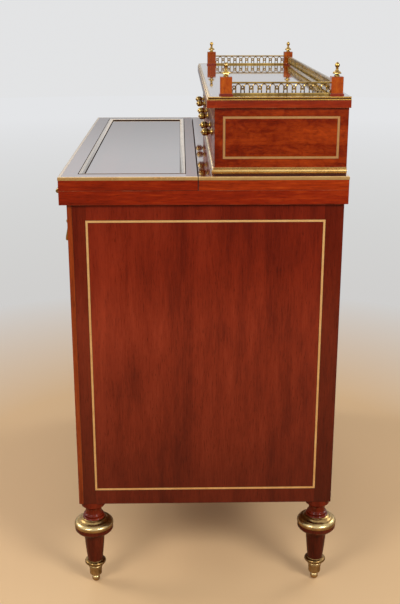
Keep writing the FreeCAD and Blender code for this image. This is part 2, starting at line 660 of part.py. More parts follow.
def make_gradin():
    """Upper drawer unit: box, cornice, brass mouldings and three small drawers."""
    side = box(gradin_half - GRADIN_SIDE_THICK, gradin_half, gradin_front, gradin_back, table_z, gradin_top)
    export("gradin_sides", both_ends([cut_away(side, gradin_line_strips())]))
    inner = gradin_half - GRADIN_SIDE_THICK
    export("gradin_back", [box(-inner, inner, gradin_inner_back, gradin_back, table_z, gradin_top)])
    export("gradin_floor", [box(-inner, inner, gradin_front, gradin_inner_back, table_z, gradin_floor_z)])

    frame_back = gradin_front + GRADIN_FRAME_DEPTH
    uprights = both_ends([
        box(gradin_opening_half, inner, gradin_front, frame_back, gradin_floor_z, gradin_top),
        box(gradin_opening_half, gradin_opening_half + GRADIN_PARTITION,
            frame_back, gradin_inner_back, gradin_floor_z, gradin_rail_z),
        box(gradin_pitch / 2 - GRADIN_PARTITION / 2, gradin_pitch / 2 + GRADIN_PARTITION / 2,
            gradin_front, gradin_inner_back, gradin_floor_z, gradin_rail_z),
    ])
    rail = box(-gradin_opening_half, gradin_opening_half, gradin_front, frame_back, gradin_rail_z, gradin_top)
    export("gradin_uprights", uprights + [rail])

    base_low = table_z + BASE_MOULDING_LIFT
    bulge = [(0, base_low)]
    bulge_steps = 10
    for k in range(bulge_steps + 1):
        angle = math.pi * (k / bulge_steps - 0.5)
        out = BASE_MOULDING_OUT * (0.25 + 0.75 * math.cos(angle))
        bulge.append((out, base_low + BASE_MOULDING_HIGH * (0.5 + 0.5 * math.sin(angle))))
    bulge.append((0, base_low + BASE_MOULDING_HIGH))
    front_path = [(-gradin_half, gradin_back), (-gradin_half, gradin_front),
                  (gradin_half, gradin_front), (gradin_half, gradin_back)]
    export("gradin_base_moulding", mitred_moulding(bulge, front_path))

    brass_low = cornice_top - CORNICE_BRASS_HIGH
    cornice_path = [(-cornice_half, cornice_back), (-cornice_half, cornice_front),
                    (cornice_half, cornice_front), (cornice_half, cornice_back)]
    step_profile = [
        (-CORNICE_BRASS_WIDE, brass_low),
        (0, brass_low),
        (0, brass_low + CORNICE_BRASS_HIGH * 0.42),
        (-CORNICE_BRASS_WIDE * 0.25, brass_low + CORNICE_BRASS_HIGH * 0.5),
        (-CORNICE_BRASS_WIDE * 0.25, brass_low + CORNICE_BRASS_HIGH * 0.6),
        (-CORNICE_BRASS_WIDE * 0.5, cornice_top),
        (-CORNICE_BRASS_WIDE, cornice_top),
    ]
    rabbet_profile = [
        (-CORNICE_BRASS_WIDE, brass_low),
        (CORNICE_BRASS_WIDE, brass_low),
        (CORNICE_BRASS_WIDE, cornice_top + CORNICE_BRASS_HIGH),
        (-CORNICE_BRASS_WIDE, cornice_top + CORNICE_BRASS_HIGH),
    ]
    cornice = box(-cornice_half, cornice_half, cornice_front, cornice_back, gradin_top, cornice_top)
    export("gradin_cornice", [cut_away(cornice, mitred_moulding(rabbet_profile, cornice_path))])
    export("gradin_cornice_brass", mitred_moulding(step_profile, cornice_path))

    box_back = gradin_inner_back - GRADIN_DRAWER_SPACE
    for name, place in THREE_ACROSS.items():
        middle = place * gradin_pitch
        x0 = middle - gradin_width / 2
        x1 = middle + gradin_width / 2
        knob_z = (gradin_floor_z + gradin_rail_z) / 2
        face, boards = drawer_boards(x0, x1, gradin_front, box_back, gradin_floor_z, gradin_rail_z)
        places = [middle - KNOB_SPACING / 2, middle + KNOB_SPACING / 2]
        knobs = [knob(x, gradin_front, knob_z) for x in places]
        hole_radius = KNOB_TANG_RADIUS + STUD_CLEARANCE
        hole_long = KNOB_TANG_LONG + STUD_CLEARANCE
        holes = [rod(hole_radius, Vector(x, gradin_front, knob_z), Y_AXIS, hole_long) for x in places]
        lines = front_line_strips(x0, x1, gradin_front, gradin_floor_z, gradin_rail_z)
        export(f"gradin_{name}_drawer", [cut_away(face, holes + lines)] + boards)
        export(f"gradin_{name}_brass", lines + knobs)


def gallery_panel(length):
    """Pierced strip lying along X from the origin, a row of round-headed arches between two rails."""
    count = round(length / GALLERY_PITCH)
    pitch = length / count
    half = (pitch - GALLERY_BAR) / 2
    spring = GALLERY_HEIGHT - GALLERY_TOP_RAIL - half
    outer = Part.makePolygon([Vector(0, 0, 0), Vector(length, 0, 0), Vector(length, 0, GALLERY_HEIGHT),
                              Vector(0, 0, GALLERY_HEIGHT), Vector(0, 0, 0)])
    panel = Part.Face(outer).extrude(Y_AXIS * GALLERY_THICK)
    arches = []
    for k in range(count):
        x = (k + 0.5) * pitch
        foot_left = Vector(x - half, 0, GALLERY_BOTTOM_RAIL)
        foot_right = Vector(x + half, 0, GALLERY_BOTTOM_RAIL)
        spring_left = Vector(x - half, 0, spring)
        spring_right = Vector(x + half, 0, spring)
        head = Part.Arc(spring_right, Vector(x, 0, spring + half), spring_left).toShape()
        outline = Part.Wire([Part.makeLine(foot_left, foot_right), Part.makeLine(foot_right, spring_right),
                             head, Part.makeLine(spring_left, foot_left)])
        arches.append(Part.Face(outline).extrude(Y_AXIS * GALLERY_THICK))
    return cut_away(panel, arches)


def make_gallery():
    """Posts, finials and pierced brass strips on the cornice."""
    post_x1 = cornice_half - POST_END_INSET
    post_x0 = post_x1 - POST_SIZE
    front_y0 = cornice_front + POST_FRONT_INSET
    back_y1 = cornice_back - POST_BACK_INSET
    back_y0 = back_y1 - POST_SIZE
    post_top = cornice_top + POST_HEIGHT
    posts = [box(post_x0, post_x1, y0, y0 + POST_SIZE, cornice_top, post_top) for y0 in (front_y0, back_y0)]
    export("gallery_posts", both_ends(posts))

    middle_x = (post_x0 + post_x1) / 2
    finial = turned([
        (FINIAL_BASE_RADIUS, 0),
        (FINIAL_BASE_RADIUS, FINIAL_HEIGHT * 0.09),
        (FINIAL_BASE_RADIUS * 0.5, FINIAL_HEIGHT * 0.18),
        (FINIAL_BASE_RADIUS * 1.15, FINIAL_HEIGHT * 0.34, FINIAL_BASE_RADIUS * 0.7, FINIAL_HEIGHT * 0.27),
        (FINIAL_BASE_RADIUS * 0.42, FINIAL_HEIGHT * 0.57, FINIAL_BASE_RADIUS * 0.9, FINIAL_HEIGHT * 0.48),
        (FINIAL_BASE_RADIUS * 0.62, FINIAL_HEIGHT * 0.75, FINIAL_BASE_RADIUS * 0.58, FINIAL_HEIGHT * 0.66),
        (TIP_RADIUS, FINIAL_HEIGHT, FINIAL_BASE_RADIUS * 0.4, FINIAL_HEIGHT * 0.9),
    ])
    finials = []
    for y0 in (front_y0, back_y0):
        finials.append(finial.translated(Vector(middle_x, y0 + POST_SIZE / 2, post_top)))
    export("gallery_finials", both_ends(finials))

    end_strip = gallery_panel(back_y0 - front_y0 - POST_SIZE)
    end_strip.rotate(Vector(), Z_AXIS, 90)
    end_strip.translate(Vector(middle_x + GALLERY_THICK / 2, front_y0 + POST_SIZE, cornice_top))
    back_strip = gallery_panel(2 * post_x0)
    back_strip.translate(Vector(-post_x0, back_y0 + POST_SIZE / 2 - GALLERY_THICK / 2, cornice_top))
    export("gallery_rails", both_ends([end_strip]) + [back_strip])


def make_feet():
    """Four turned feet: neck, brass ring, shaft and brass foot cup with its ball."""
    ring_top = CHEST_BOTTOM - RING_TOP_DROP
    ring_bottom = ring_top - RING_HIGH
    flare_middle = (NECK_STRAIGHT_HIGH + NECK_FLARE_HIGH) / 2
    neck = turned([
        (NECK_RADIUS, ring_top),
        (NECK_RADIUS, ring_top + NECK_BEAD_HIGH, NECK_RADIUS + NECK_BEAD_OUT, ring_top + NECK_BEAD_HIGH / 2),
        (NECK_RADIUS, ring_top + NECK_STRAIGHT_HIGH),
        (NECK_TOP_RADIUS, ring_top + NECK_FLARE_HIGH, NECK_RADIUS + NECK_FLARE_SAG, ring_top + flare_middle),
        (NECK_TOP_RADIUS, CHEST_BOTTOM),
    ]).cut(rod(DOWEL_RADIUS + DOWEL_CLEARANCE, Vector(0, 0, ring_top), Z_AXIS, DOWEL_DEPTH))
    ring_hole = rod(DOWEL_RADIUS + DOWEL_CLEARANCE, Vector(0, 0, ring_bottom), Z_AXIS, RING_HIGH)
    step_z = ring_bottom + RING_STEP_HIGH
    rim_radius = RING_RADIUS - RING_STEP_WIDE / 2
    ring = turned([
        (RING_RADIUS, ring_bottom),
        (RING_STEP_RADIUS, step_z, rim_radius, ring_bottom + RING_STEP_HIGH * 0.6),
        (RING_STEP_RADIUS - RING_STEP_WIDE, step_z),
        (NECK_RADIUS + NECK_BEAD_OUT, ring_top),
    ]).cut(ring_hole)
    under_radius = RING_RADIUS - UNDER_RING_INSET
    under_low = ring_bottom - UNDER_RING_HIGH
    shaft = turned([
        (TENON_RADIUS, SABOT_HIGH - TENON_DEPTH + DOWEL_CLEARANCE),
        (TENON_RADIUS, SABOT_HIGH),
        (SHAFT_END_RADIUS, SABOT_HIGH),
        (SHAFT_TOP_RADIUS, under_low),
        (under_radius, ring_bottom - UNDER_RING_LIP,
         under_radius - UNDER_RING_BOWL, under_low + UNDER_RING_HIGH * 0.32),
        (under_radius, ring_bottom),
        (DOWEL_RADIUS, ring_bottom),
        (DOWEL_RADIUS, ring_top + DOWEL_DEPTH - DOWEL_CLEARANCE),
    ])
    ball_middle = BALL_RADIUS - BALL_FLAT
    ball_flat_radius = math.sqrt(BALL_RADIUS ** 2 - ball_middle ** 2)
    stem_radius = FERRULE_RADIUS * 0.5
    stem_low = ball_middle + math.sqrt(BALL_RADIUS ** 2 - stem_radius ** 2)
    sabot = turned([
        (ball_flat_radius, 0),
        (stem_radius, stem_low, BALL_RADIUS, ball_middle),
        (stem_radius, SABOT_HIGH * 0.32),
        (FERRULE_RADIUS, SABOT_HIGH * 0.36),
        (FERRULE_RADIUS, SABOT_HIGH * 0.6),
        (CUP_RADIUS, SABOT_HIGH * 0.7),
        (CUP_RADIUS, SABOT_HIGH * 0.84),
        (FLANGE_RADIUS, SABOT_HIGH * 0.88),
        (FLANGE_RADIUS, SABOT_HIGH * 0.95),
        (SHAFT_END_RADIUS + SHAFT_SEAT, SABOT_HIGH),
    ]).cut(rod(TENON_RADIUS + DOWEL_CLEARANCE, Vector(0, 0, SABOT_HIGH - TENON_DEPTH), Z_AXIS, TENON_DEPTH))
    places = []
    for y in (chest_front + FOOT_FRONT_INSET, chest_back - FOOT_INSET):
        for x in (FOOT_INSET - chest_half, chest_half - FOOT_INSET):
            places.append(Vector(x, y, 0))
    export("foot_turnings", [piece.translated(place) for piece in (neck, shaft) for place in places])
    export("foot_rings", [ring.translated(place) for place in places])
    export("foot_sabots", [sabot.translated(place) for place in places])


os.makedirs("parts", exist_ok=True)
make_carcase()
make_table_top()
make_frieze_drawers()
make_long_drawers()
make_gradin()
make_gallery()
make_feet()
print("nodes written:", len(os.listdir("parts")))
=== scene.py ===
# %% [markdown]
# # Secretary chest
#
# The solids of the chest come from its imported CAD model, and this file gives them their looks.
# Boards whose shape is right stay and get a finish, most of them with eased edges.
# Turned feet, finials, mouldings, pulls and the pierced gallery are made again here with finer forms.
# Lengths are in millimetres and are turned into metres when a mesh is made.
# The camera, the floor, the world and the lamps are in metres.

# %% Load the frame
import math

import bmesh
import bpy
from mathutils import Matrix, Vector


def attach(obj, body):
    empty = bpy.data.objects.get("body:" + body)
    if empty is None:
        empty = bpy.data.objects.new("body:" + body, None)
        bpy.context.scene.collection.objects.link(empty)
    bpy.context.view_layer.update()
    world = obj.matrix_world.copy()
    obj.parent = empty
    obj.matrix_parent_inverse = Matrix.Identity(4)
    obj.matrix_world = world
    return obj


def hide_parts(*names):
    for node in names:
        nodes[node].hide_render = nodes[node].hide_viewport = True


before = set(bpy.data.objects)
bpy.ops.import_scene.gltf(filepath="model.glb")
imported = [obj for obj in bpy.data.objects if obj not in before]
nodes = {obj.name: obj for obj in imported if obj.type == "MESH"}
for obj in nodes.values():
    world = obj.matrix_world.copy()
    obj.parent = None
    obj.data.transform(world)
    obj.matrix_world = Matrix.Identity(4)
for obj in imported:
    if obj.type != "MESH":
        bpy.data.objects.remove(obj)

MM = 0.001
scene = bpy.context.scene
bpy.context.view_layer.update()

# %% [markdown]
# ## Camera
#
# The photo looks at the right-hand end of the chest from a little above the table.
# The place and lens were worked out from the straight edges of the chest in the photo.
# A camera could also be set by eye, but then it would be off by a little.

# %% Camera at the photo's angle
camera_place = Vector((1.9514, -0.0378, 1.0559))
camera_aim = Vector((-0.9526, 0.0193, -0.3037))
lens = bpy.data.cameras.new("photo_lens")
lens.sensor_width = 36.0
lens.lens = 57.05
lens.clip_start = 0.05
lens.clip_end = 60.0
camera = bpy.data.objects.new("photo_camera", lens)
camera.location = camera_place
camera.rotation_euler = camera_aim.to_track_quat("-Z", "Y").to_euler()
scene.collection.objects.link(camera)
scene.camera = camera
scene.view_settings.view_transform = "Standard"
print("camera", round(camera_place.length, 2), "m from the origin, lens", lens.lens)

# %% [markdown]
# ## Helpers for materials
#
# A finish is a small graph of nodes. Written out in full, each node takes several lines, so one helper
# adds a node and fills its inputs, either with a number or with the output of another node.
# The new node goes into the graph that those outputs belong to.
# Colours are written as a screen shows them, from 0 to 255, and are turned into light values.


# %% Colour and node helpers
def screen_colour(red, green, blue):
    """A colour from 0 to 255 as a screen shows it, as light values."""
    values = []
    for value in (red, green, blue):
        part = value / 255
        values.append(part / 12.92 if part <= 0.04045 else ((part + 0.055) / 1.055) ** 2.4)
    return (*values, 1.0)


def feed(node, inputs):
    """Fill inputs of a node, each with a value or with the output of another node."""
    for name, value in inputs.items():
        if isinstance(value, bpy.types.NodeSocket):
            node.id_data.links.new(value, node.inputs[name])
        else:
            node.inputs[name].default_value = value


def put(kind, inputs, **settings):
    """Add one node to the graph that its inputs come from."""
    tree = next(value.id_data for value in inputs.values() if isinstance(value, bpy.types.NodeSocket))
    node = tree.nodes.new(kind)
    for name, value in settings.items():
        setattr(node, name, value)
    feed(node, inputs)
    return node


def result(kind, inputs, **settings):
    """Add one node and return its first output."""
    return put(kind, inputs, **settings).outputs[0]


def maths(operation, *values):
    """One arithmetic step."""
    return result("ShaderNodeMath", dict(enumerate(values)), operation=operation)


def coordinate(vector, axis):
    """One coordinate of a vector: 0 for X, 1 for Y and 2 for Z."""
    return put("ShaderNodeSeparateXYZ", {0: vector}).outputs[axis]


def noise(vector, scale, detail=2.0, roughness=0.5, distortion=0.0):
    """Cloudy pattern from 0 to 1."""
    inputs = {"Vector": vector, "Scale": scale, "Detail": detail, "Roughness": roughness,
              "Distortion": distortion}
    return result("ShaderNodeTexNoise", inputs)


def ramp(factor, stops):
    """Colour that runs through the given stops, each a place from 0 to 1 and a colour."""
    node = put("ShaderNodeValToRGB", {0: factor})
    elements = node.color_ramp.elements
    elements[0].position, elements[0].color = stops[0]
    elements[1].position, elements[1].color = stops[-1]
    for place, colour in stops[1:-1]:
        elements.new(place).color = colour
    return node.outputs[0]


def span(factor, low, high, to_low=0.0, to_high=1.0):
    """Stretch the part of a value between low and high over a new span."""
    inputs = {"Value": factor, "From Min": low, "From Max": high, "To Min": to_low, "To Max": to_high}
    return result("ShaderNodeMapRange", inputs)


def mix_colour(factor, first, second, blend="MIX"):
    """Mix two colours."""
    node = put("ShaderNodeMix", {0: factor, 6: first, 7: second}, data_type="RGBA", blend_type=blend)
    return node.outputs[2]


def tinted(factor, colour, tint):
    """Multiply a colour by a tint where the factor is one."""
    return mix_colour(factor, colour, tint, "MULTIPLY")


def mix_vector(factor, first, second):
    """Mix two vectors."""
    return put("ShaderNodeMix", {0: factor, 4: first, 5: second}, data_type="VECTOR").outputs[1]


def new_finish(name):
    """Empty material: the material, its shader, and the coordinates of a place on it."""
    material = bpy.data.materials.new(name)
    material.use_nodes = True
    tree = material.node_tree
    return material, tree.nodes["Principled BSDF"], tree.nodes.new("ShaderNodeTexCoord").outputs


def bump(shader, height, strength, depth):
    """Raise a surface by a pattern, depth in millimetres."""
    relief = result("ShaderNodeBump", {"Height": height, "Strength": strength, "Distance": depth * MM})
    feed(shader, {"Normal": relief})


print("material helpers ready")

# %% [markdown]
# ## Mahogany
#
# The chest is veneered in red mahogany under a mirror-bright French polish.
# Real veneer shows broad light and dark bands, ribbon stripes, fine fibres and short dark pores,
# all drawn out along the grain. One noise pattern, stretched along the grain and used at several sizes,
# gives them all, and it runs on through a board's corners because it is a pattern in space.
# Each finish has a place of its own in that pattern, so that no two look alike.

# %% Grain and places on a board
GRAIN_STRETCH = {"X": (0.07, 1.0, 1.0), "Y": (1.0, 0.07, 1.0), "Z": (1.0, 1.0, 0.07)}


def along_grain(place, axis, seed):
    """Object coordinates drawn out along one axis."""
    inputs = {"Vector": place, "Location": (seed * 1.7, seed * 2.3, seed * 0.9),
              "Scale": GRAIN_STRETCH[axis]}
    return result("ShaderNodeMapping", inputs)


def facing(normal, axis):
    """One where a face looks along an axis, 0 for X, 1 for Y or 2 for Z, and zero elsewhere."""
    return maths("GREATER_THAN", maths("ABSOLUTE", coordinate(normal, axis)), 0.7)


def within(place, axis, low, high):
    """One where a place lies between two millimetre marks along an axis, and zero elsewhere."""
    middle = (low + high) / 2 * MM
    return maths("COMPARE", coordinate(place, axis), middle, (high - low) / 2 * MM)


def dovetails(place, normal, front, back, pitch):
    """One on tails in the end faces, between two marks along Y, and zero elsewhere."""
    deep = maths("SUBTRACT", back * MM, coordinate(place, 1))
    half = maths("MULTIPLY_ADD", deep, 0.22, pitch * 0.24 * MM)
    nearest = maths("PINGPONG", coordinate(place, 2), pitch / 2 * MM)
    tail = maths("MULTIPLY", maths("LESS_THAN", nearest, half), facing(normal, 0))
    return maths("MULTIPLY", tail, within(place, 1, front, back))


print("grain along:", *GRAIN_STRETCH)

# %% Mahogany finish
SHADE_WIDE = 0.65     # painted shade beside an open seam
BROAD_SHARE = 0.42   # share of the broad bands in the tone
OTHER_SHARE = 0.58   # share of ribbons, fibres and cloudy figure together


def mahogany(name, tones, grain="Z", end_grain=None, seed=0.0, gloss=0.07, mottle=0.2, figure=46.0,
             drawn=0.4, ribbons=0.26, level_shade=1.0, front_tint=None, raw=None, rubbed=None, tails=None,
             rails=None, shine=0.5, tint=None, height_shade=None):
    """Polished mahogany in three tones, dark to light. Faces at the ends may have a grain of their own.

    Mottle is the strength of the cloudy figure, figure its scale, and drawn how far it follows the grain.
    Level faces may be painted darker as shade, under a second coat of polish, and front faces may be tinted.
    Raw shade is (axis, low, high): between these marks the wood is bare and painted dark as shade,
    and on level faces the painted shade runs a little beyond them.
    Rubbed is (start, end, share): along Y, the coat of the level faces fades to that share.
    Tails is (front, back, pitch): oak dovetails in the end faces.
    Rails is (axis, low, high): between these marks the grain runs along X. Shine is the polish's share.
    Tint is (axis, low, high, tint), a tint between two marks.
    Height shade is (low, high, stops): tints that change up the height, painted shade.
    """
    material, shader, coordinates = new_finish("mahogany_" + name)
    dark, middle, light = (screen_colour(*tone) for tone in tones)
    place, normal = coordinates["Object"], coordinates["Normal"]
    fibre = along_grain(place, grain, seed)
    if end_grain:
        fibre = mix_vector(facing(normal, 0), fibre, along_grain(place, end_grain, seed + 3.0))
    if rails:
        fibre = mix_vector(within(place, *rails), fibre, along_grain(place, "X", seed + 5.0))
    broad = noise(fibre, 11.0, detail=3.0, distortion=0.9)
    ribbon = noise(fibre, 62.0, roughness=0.6, distortion=0.4)
    streak = noise(fibre, 420.0)
    halfway = mix_vector(drawn, place, fibre)
    cloud = noise(halfway, figure, detail=4.0, roughness=0.65, distortion=1.4 - 1.4 * drawn)
    clouds = mottle / 2
    tone = maths("MULTIPLY", broad, BROAD_SHARE)
    for pattern, share in ((ribbon, ribbons), (streak, OTHER_SHARE - ribbons - clouds), (cloud, clouds)):
        tone = maths("MULTIPLY_ADD", pattern, share, tone)
    colour = ramp(tone, [(0.36, dark), (0.5, middle), (0.66, light)])
    pores = span(noise(fibre, 1150.0, detail=1.0), 0.60, 0.72)
    colour = tinted(maths("MULTIPLY", pores, 0.42), colour, dark)
    smears = noise(place, 7.0, detail=3.0, roughness=0.6)
    polish = span(smears, 0.35, 0.7, gloss * 0.7, gloss * 1.6)
    if tint:
        colour = tinted(within(place, *tint[:3]), colour, tint[3])
    # Painted shade up the height of the wood, darker where less light falls.
    if height_shade:
        height = span(coordinate(place, 2), height_shade[0] * MM, height_shade[1] * MM)
        colour = tinted(1.0, colour, ramp(height, height_shade[2]))
    if front_tint:
        colour = tinted(facing(normal, 1), colour, front_tint)
    # Painted shade: between the marks the wood is bare, rougher and painted dark, a little wider on level
    # faces.
    if raw:
        shade_beside = within(place, raw[0], raw[1] - SHADE_WIDE, raw[2] + SHADE_WIDE)
        shade_beside = maths("MULTIPLY", shade_beside, facing(normal, 2))
        bare_shaded = maths("MAXIMUM", within(place, *raw), shade_beside)
        colour = tinted(bare_shaded, colour, (0.2, 0.2, 0.2, 1.0))
        polish = maths("MULTIPLY_ADD", bare_shaded, 0.8, polish)
    # Painted shade: level faces are darker, and a second coat of polish lies over them.
    if level_shade < 1.0:
        coat = facing(normal, 2)
        colour = tinted(coat, colour, (level_shade, level_shade, level_shade, 1.0))
        if rubbed:
            kept = span(coordinate(place, 1), rubbed[0] * MM, rubbed[1] * MM, 1.0, rubbed[2])
            coat = maths("MULTIPLY", coat, kept)
        if raw:
            coat = maths("MULTIPLY", coat, maths("SUBTRACT", 1.0, bare_shaded))
        feed(shader, {"Coat Weight": coat, "Coat Roughness": gloss})
    if tails:
        tail = dovetails(place, normal, *tails)
        oak_tone = mix_colour(streak, screen_colour(128, 88, 50), screen_colour(176, 134, 86))
        colour = mix_colour(tail, colour, oak_tone)
        polish = maths("MULTIPLY_ADD", tail, 0.5, polish)
    feed(shader, {"Base Color": colour, "Roughness": polish, "IOR": 1.42, "Specular IOR Level": shine})
    bump(shader, maths("MULTIPLY_ADD", pores, -0.5, streak), 0.035, 0.25)
    return material


print("mahogany finish ready")

# %% Mahogany of each board
# In the seam, the facing edges are bare wood painted dark as shade.
SEAM_SHADE = (1, -10.05, -8.75)           # facing edges of the flap and the rear top, along Y
# At the foot of the upper unit, under its moulding, the wood is painted dark as shade and left unpolished.
UNDER_MOULDING_SHADE = (2, 776.0, 780.5)  # foot of the upper unit, along Z
INSIDE_LINE = (1, -195.0, 201.5, (1.43, 1.43, 1.43, 1.0))  # side veneer inside its brass line, along Y
NECK = (2, 137.0, 175.0, (1.5, 1.1, 0.85, 1.0))            # necks of the feet, along Z
# Painted shade on the side veneer: darker towards its foot and again under the table.
SIDE_SHADE = (174.5, 730.5, [        # the side veneer from its foot to the table
    (0.0, (0.54, 0.53, 0.52, 1.0)), (0.12, (0.62, 0.61, 0.6, 1.0)), (0.25, (0.77, 0.77, 0.77, 1.0)),
    (0.45, (0.89, 0.89, 0.89, 1.0)), (0.61, (1.0, 1.0, 1.0, 1.0)), (0.78, (0.84, 0.68, 0.6, 1.0)),
    (1.0, (0.72, 0.55, 0.48, 1.0))])
TABLE_TONES = (88, 17, 4), (126, 31, 7), (166, 60, 15)
DIRT_AND_SHADE_TONES = (24, 10, 6), (40, 18, 11), (58, 28, 18)
side_wood = mahogany("side", [(77, 18, 9), (103, 31, 15), (124, 44, 24)], seed=1.0, mottle=0.66, figure=44.0,
                     drawn=0.86, ribbons=0.1, tint=INSIDE_LINE, height_shade=SIDE_SHADE)
stile_wood = mahogany("stile", [(98, 32, 10), (138, 56, 20), (166, 86, 38)], seed=4.0, gloss=0.1,
                      rails=(0, -367.9, 367.9), front_tint=(0.78, 0.5, 0.5, 1.0))
table_wood = mahogany("table", TABLE_TONES, "X", "Y", seed=2.0, gloss=0.05)
flap_wood = mahogany("flap", TABLE_TONES, "X", "Y", seed=2.6, gloss=0.04, level_shade=0.6, raw=SEAM_SHADE,
                     rubbed=(-31.0, -28.0, 0.25))
rear_wood = mahogany("rear", [(104, 25, 5), (148, 47, 10), (184, 82, 22)], "X", "Y", seed=5.0, gloss=0.04,
                     level_shade=0.6, raw=SEAM_SHADE, rubbed=(-8.0, 10.0, 0.6))
panel_wood = mahogany("flap_panel", [(70, 14, 5), (110, 28, 9), (148, 52, 20)], "X", seed=7.0, gloss=0.035,
                      mottle=0.34, level_shade=0.6)
unit_wood = mahogany("unit", [(50, 7, 1), (104, 25, 4), (156, 58, 14)], "X", "Y", seed=8.0, gloss=0.06,
                     mottle=0.56, figure=95.0, raw=UNDER_MOULDING_SHADE)
unit_front_wood = mahogany("unit_front", [(58, 10, 3), (108, 29, 8), (152, 58, 18)], "X", seed=10.0,
                           gloss=0.28, mottle=0.5, figure=95.0, tails=(21.5, 34.1, 20.0), shine=0.15)
cornice_wood = mahogany("cornice", [(84, 18, 6), (128, 37, 11), (164, 64, 20)], "X", "Y", seed=12.0,
                        gloss=0.04, mottle=0.36, level_shade=0.6)
front_wood = mahogany("fronts", [(82, 18, 7), (124, 36, 13), (160, 62, 26)], "X", seed=9.0, gloss=0.06,
                      mottle=0.36, tails=(-222.0, -209.4, 25.0))
post_wood = mahogany("posts", [(106, 32, 2), (152, 62, 6), (192, 102, 24)], seed=6.0, gloss=0.08, mottle=0.5,
                     figure=160.0)
foot_wood = mahogany("feet", [(48, 11, 4), (80, 24, 10), (112, 42, 22)], seed=3.0, gloss=0.12, shine=0.36,
                     tint=NECK)
# Dark mahogany on eased edges: old dirt in the joints, and painted shade along them.
joint_dirt = mahogany("joint_dirt", DIRT_AND_SHADE_TONES, "X", seed=13.0, gloss=0.45)
# Lighter, duller mahogany for rubbed edges: wear, with its lightest tone a painted glint.
worn_edge = mahogany("worn_edge", [(110, 40, 16), (150, 66, 28), (220, 150, 104)], "X", seed=11.0,
                     gloss=0.16)
# Dark mahogany that mirrors nothing, for the grooves by the flap frame: dirt and painted shade.
groove_dirt = mahogany("groove_dirt", DIRT_AND_SHADE_TONES, "X", seed=14.0, gloss=0.6, shine=0.0)
print("mahogany finishes:", len([m for m in bpy.data.materials if m.name.startswith("mahogany")]))

# %% [markdown]
# ## Oak, brass and leather
# Painted shade darkens some hollows, and the cups hold a painted reflection of the shafts.
#
# Drawer boxes, backs and runners are plain oak, dry and only planed, with long dark pores.
# The brass is polished but old: brown in the hollows, brighter where hands and cloths have rubbed it.
# A metal's colour comes from what it mirrors, so most of its life is in small changes of roughness.
# The writing leather is green with a fine pebbled grain, and a tooled gilt line runs near its edge.


# %% Oak finish
def oak(name, grain, seed, boards=None):
    """Bare planed oak. With boards, the joints between upright boards of that width show."""
    material, shader, coordinates = new_finish("oak_" + name)
    place = coordinates["Object"]
    fibre = along_grain(place, grain, seed)
    broad = noise(fibre, 16.0, detail=3.0, distortion=0.6)
    streak = noise(fibre, 260.0, detail=3.0, roughness=0.7)
    tone = maths("MULTIPLY_ADD", broad, 0.55, maths("MULTIPLY", streak, 0.45))
    if boards:
        count = maths("DIVIDE", coordinate(place, 0), boards * MM)
        board = result("ShaderNodeTexWhiteNoise", {"W": maths("FLOOR", count)}, noise_dimensions="1D")
        tone = maths("MULTIPLY_ADD", board, 0.16, maths("SUBTRACT", tone, 0.08))
    colour = ramp(tone, [(0.3, screen_colour(118, 78, 44)), (0.5, screen_colour(158, 114, 68)),
                         (0.7, screen_colour(186, 146, 96))])
    pores = span(noise(fibre, 800.0, detail=1.0), 0.58, 0.7)
    depth = maths("MULTIPLY", pores, 0.5)
    if boards:
        joint = span(maths("PINGPONG", count, 0.5), 0.0, 0.012, 1.0, 0.0)
        depth = maths("MAXIMUM", depth, maths("MULTIPLY", joint, 0.9))
    feed(shader, {"Base Color": mix_colour(depth, colour, screen_colour(52, 32, 18)),
                  "Roughness": span(streak, 0.3, 0.7, 0.62, 0.8)})
    bump(shader, maths("SUBTRACT", streak, depth), 0.35, 0.3)
    return material


box_oak = oak("boxes", "Y", 2.0)
back_oak = oak("back_boards", "Z", 5.0, boards=108.0)
floor_oak = oak("floors", "X", 8.0)
print("oak finishes:", len([m for m in bpy.data.materials if m.name.startswith("oak")]))

# %% Brass finish
PULL_TONES = (226, 186, 104), (128, 86, 34)


def brass(name, tones, smooth, dull, seed, metal=1.0, lacquer=0.0, dim=None, proud=None, dents=0.06):
    """Old polished brass in two tones, bright and aged, with a roughness that wanders.

    Flush lines under polish look less metallic, and lacquer lies over all.
    Dim is (axis, low, high, tint): there the tint darkens it.
    Proud is (axis, low, high): fittings that stand out there have the tones of the pulls.
    """
    material, shader, coordinates = new_finish("brass_" + name)
    place = coordinates["Object"]
    spot = result("ShaderNodeMapping", {"Vector": place, "Location": (seed, seed * 2.0, seed * 3.0)})
    cloud = noise(spot, 38.0, detail=5.0, roughness=0.65, distortion=0.5)
    speck = noise(spot, 520.0)
    age = span(maths("MULTIPLY_ADD", speck, 0.35, cloud), 0.5, 0.92)
    colour = mix_colour(age, *(screen_colour(*tone) for tone in tones))
    if dim:
        colour = tinted(within(place, *dim[:3]), colour, dim[3])
    if proud:
        fitting = within(place, *proud)
        pull_colour = mix_colour(age, *(screen_colour(*tone) for tone in PULL_TONES))
        colour = mix_colour(fitting, colour, pull_colour)
        metal = span(fitting, 0.0, 1.0, metal, 1.0)
    rough = maths("MULTIPLY_ADD", age, dull - smooth, smooth)
    feed(shader, {"Base Color": colour, "Roughness": rough, "Metallic": metal, "Coat Weight": lacquer,
                  "Coat Roughness": smooth * 0.4})
    bump(shader, maths("MULTIPLY_ADD", speck, 0.4, cloud), dents, 0.2)
    return material


print("brass finish ready")

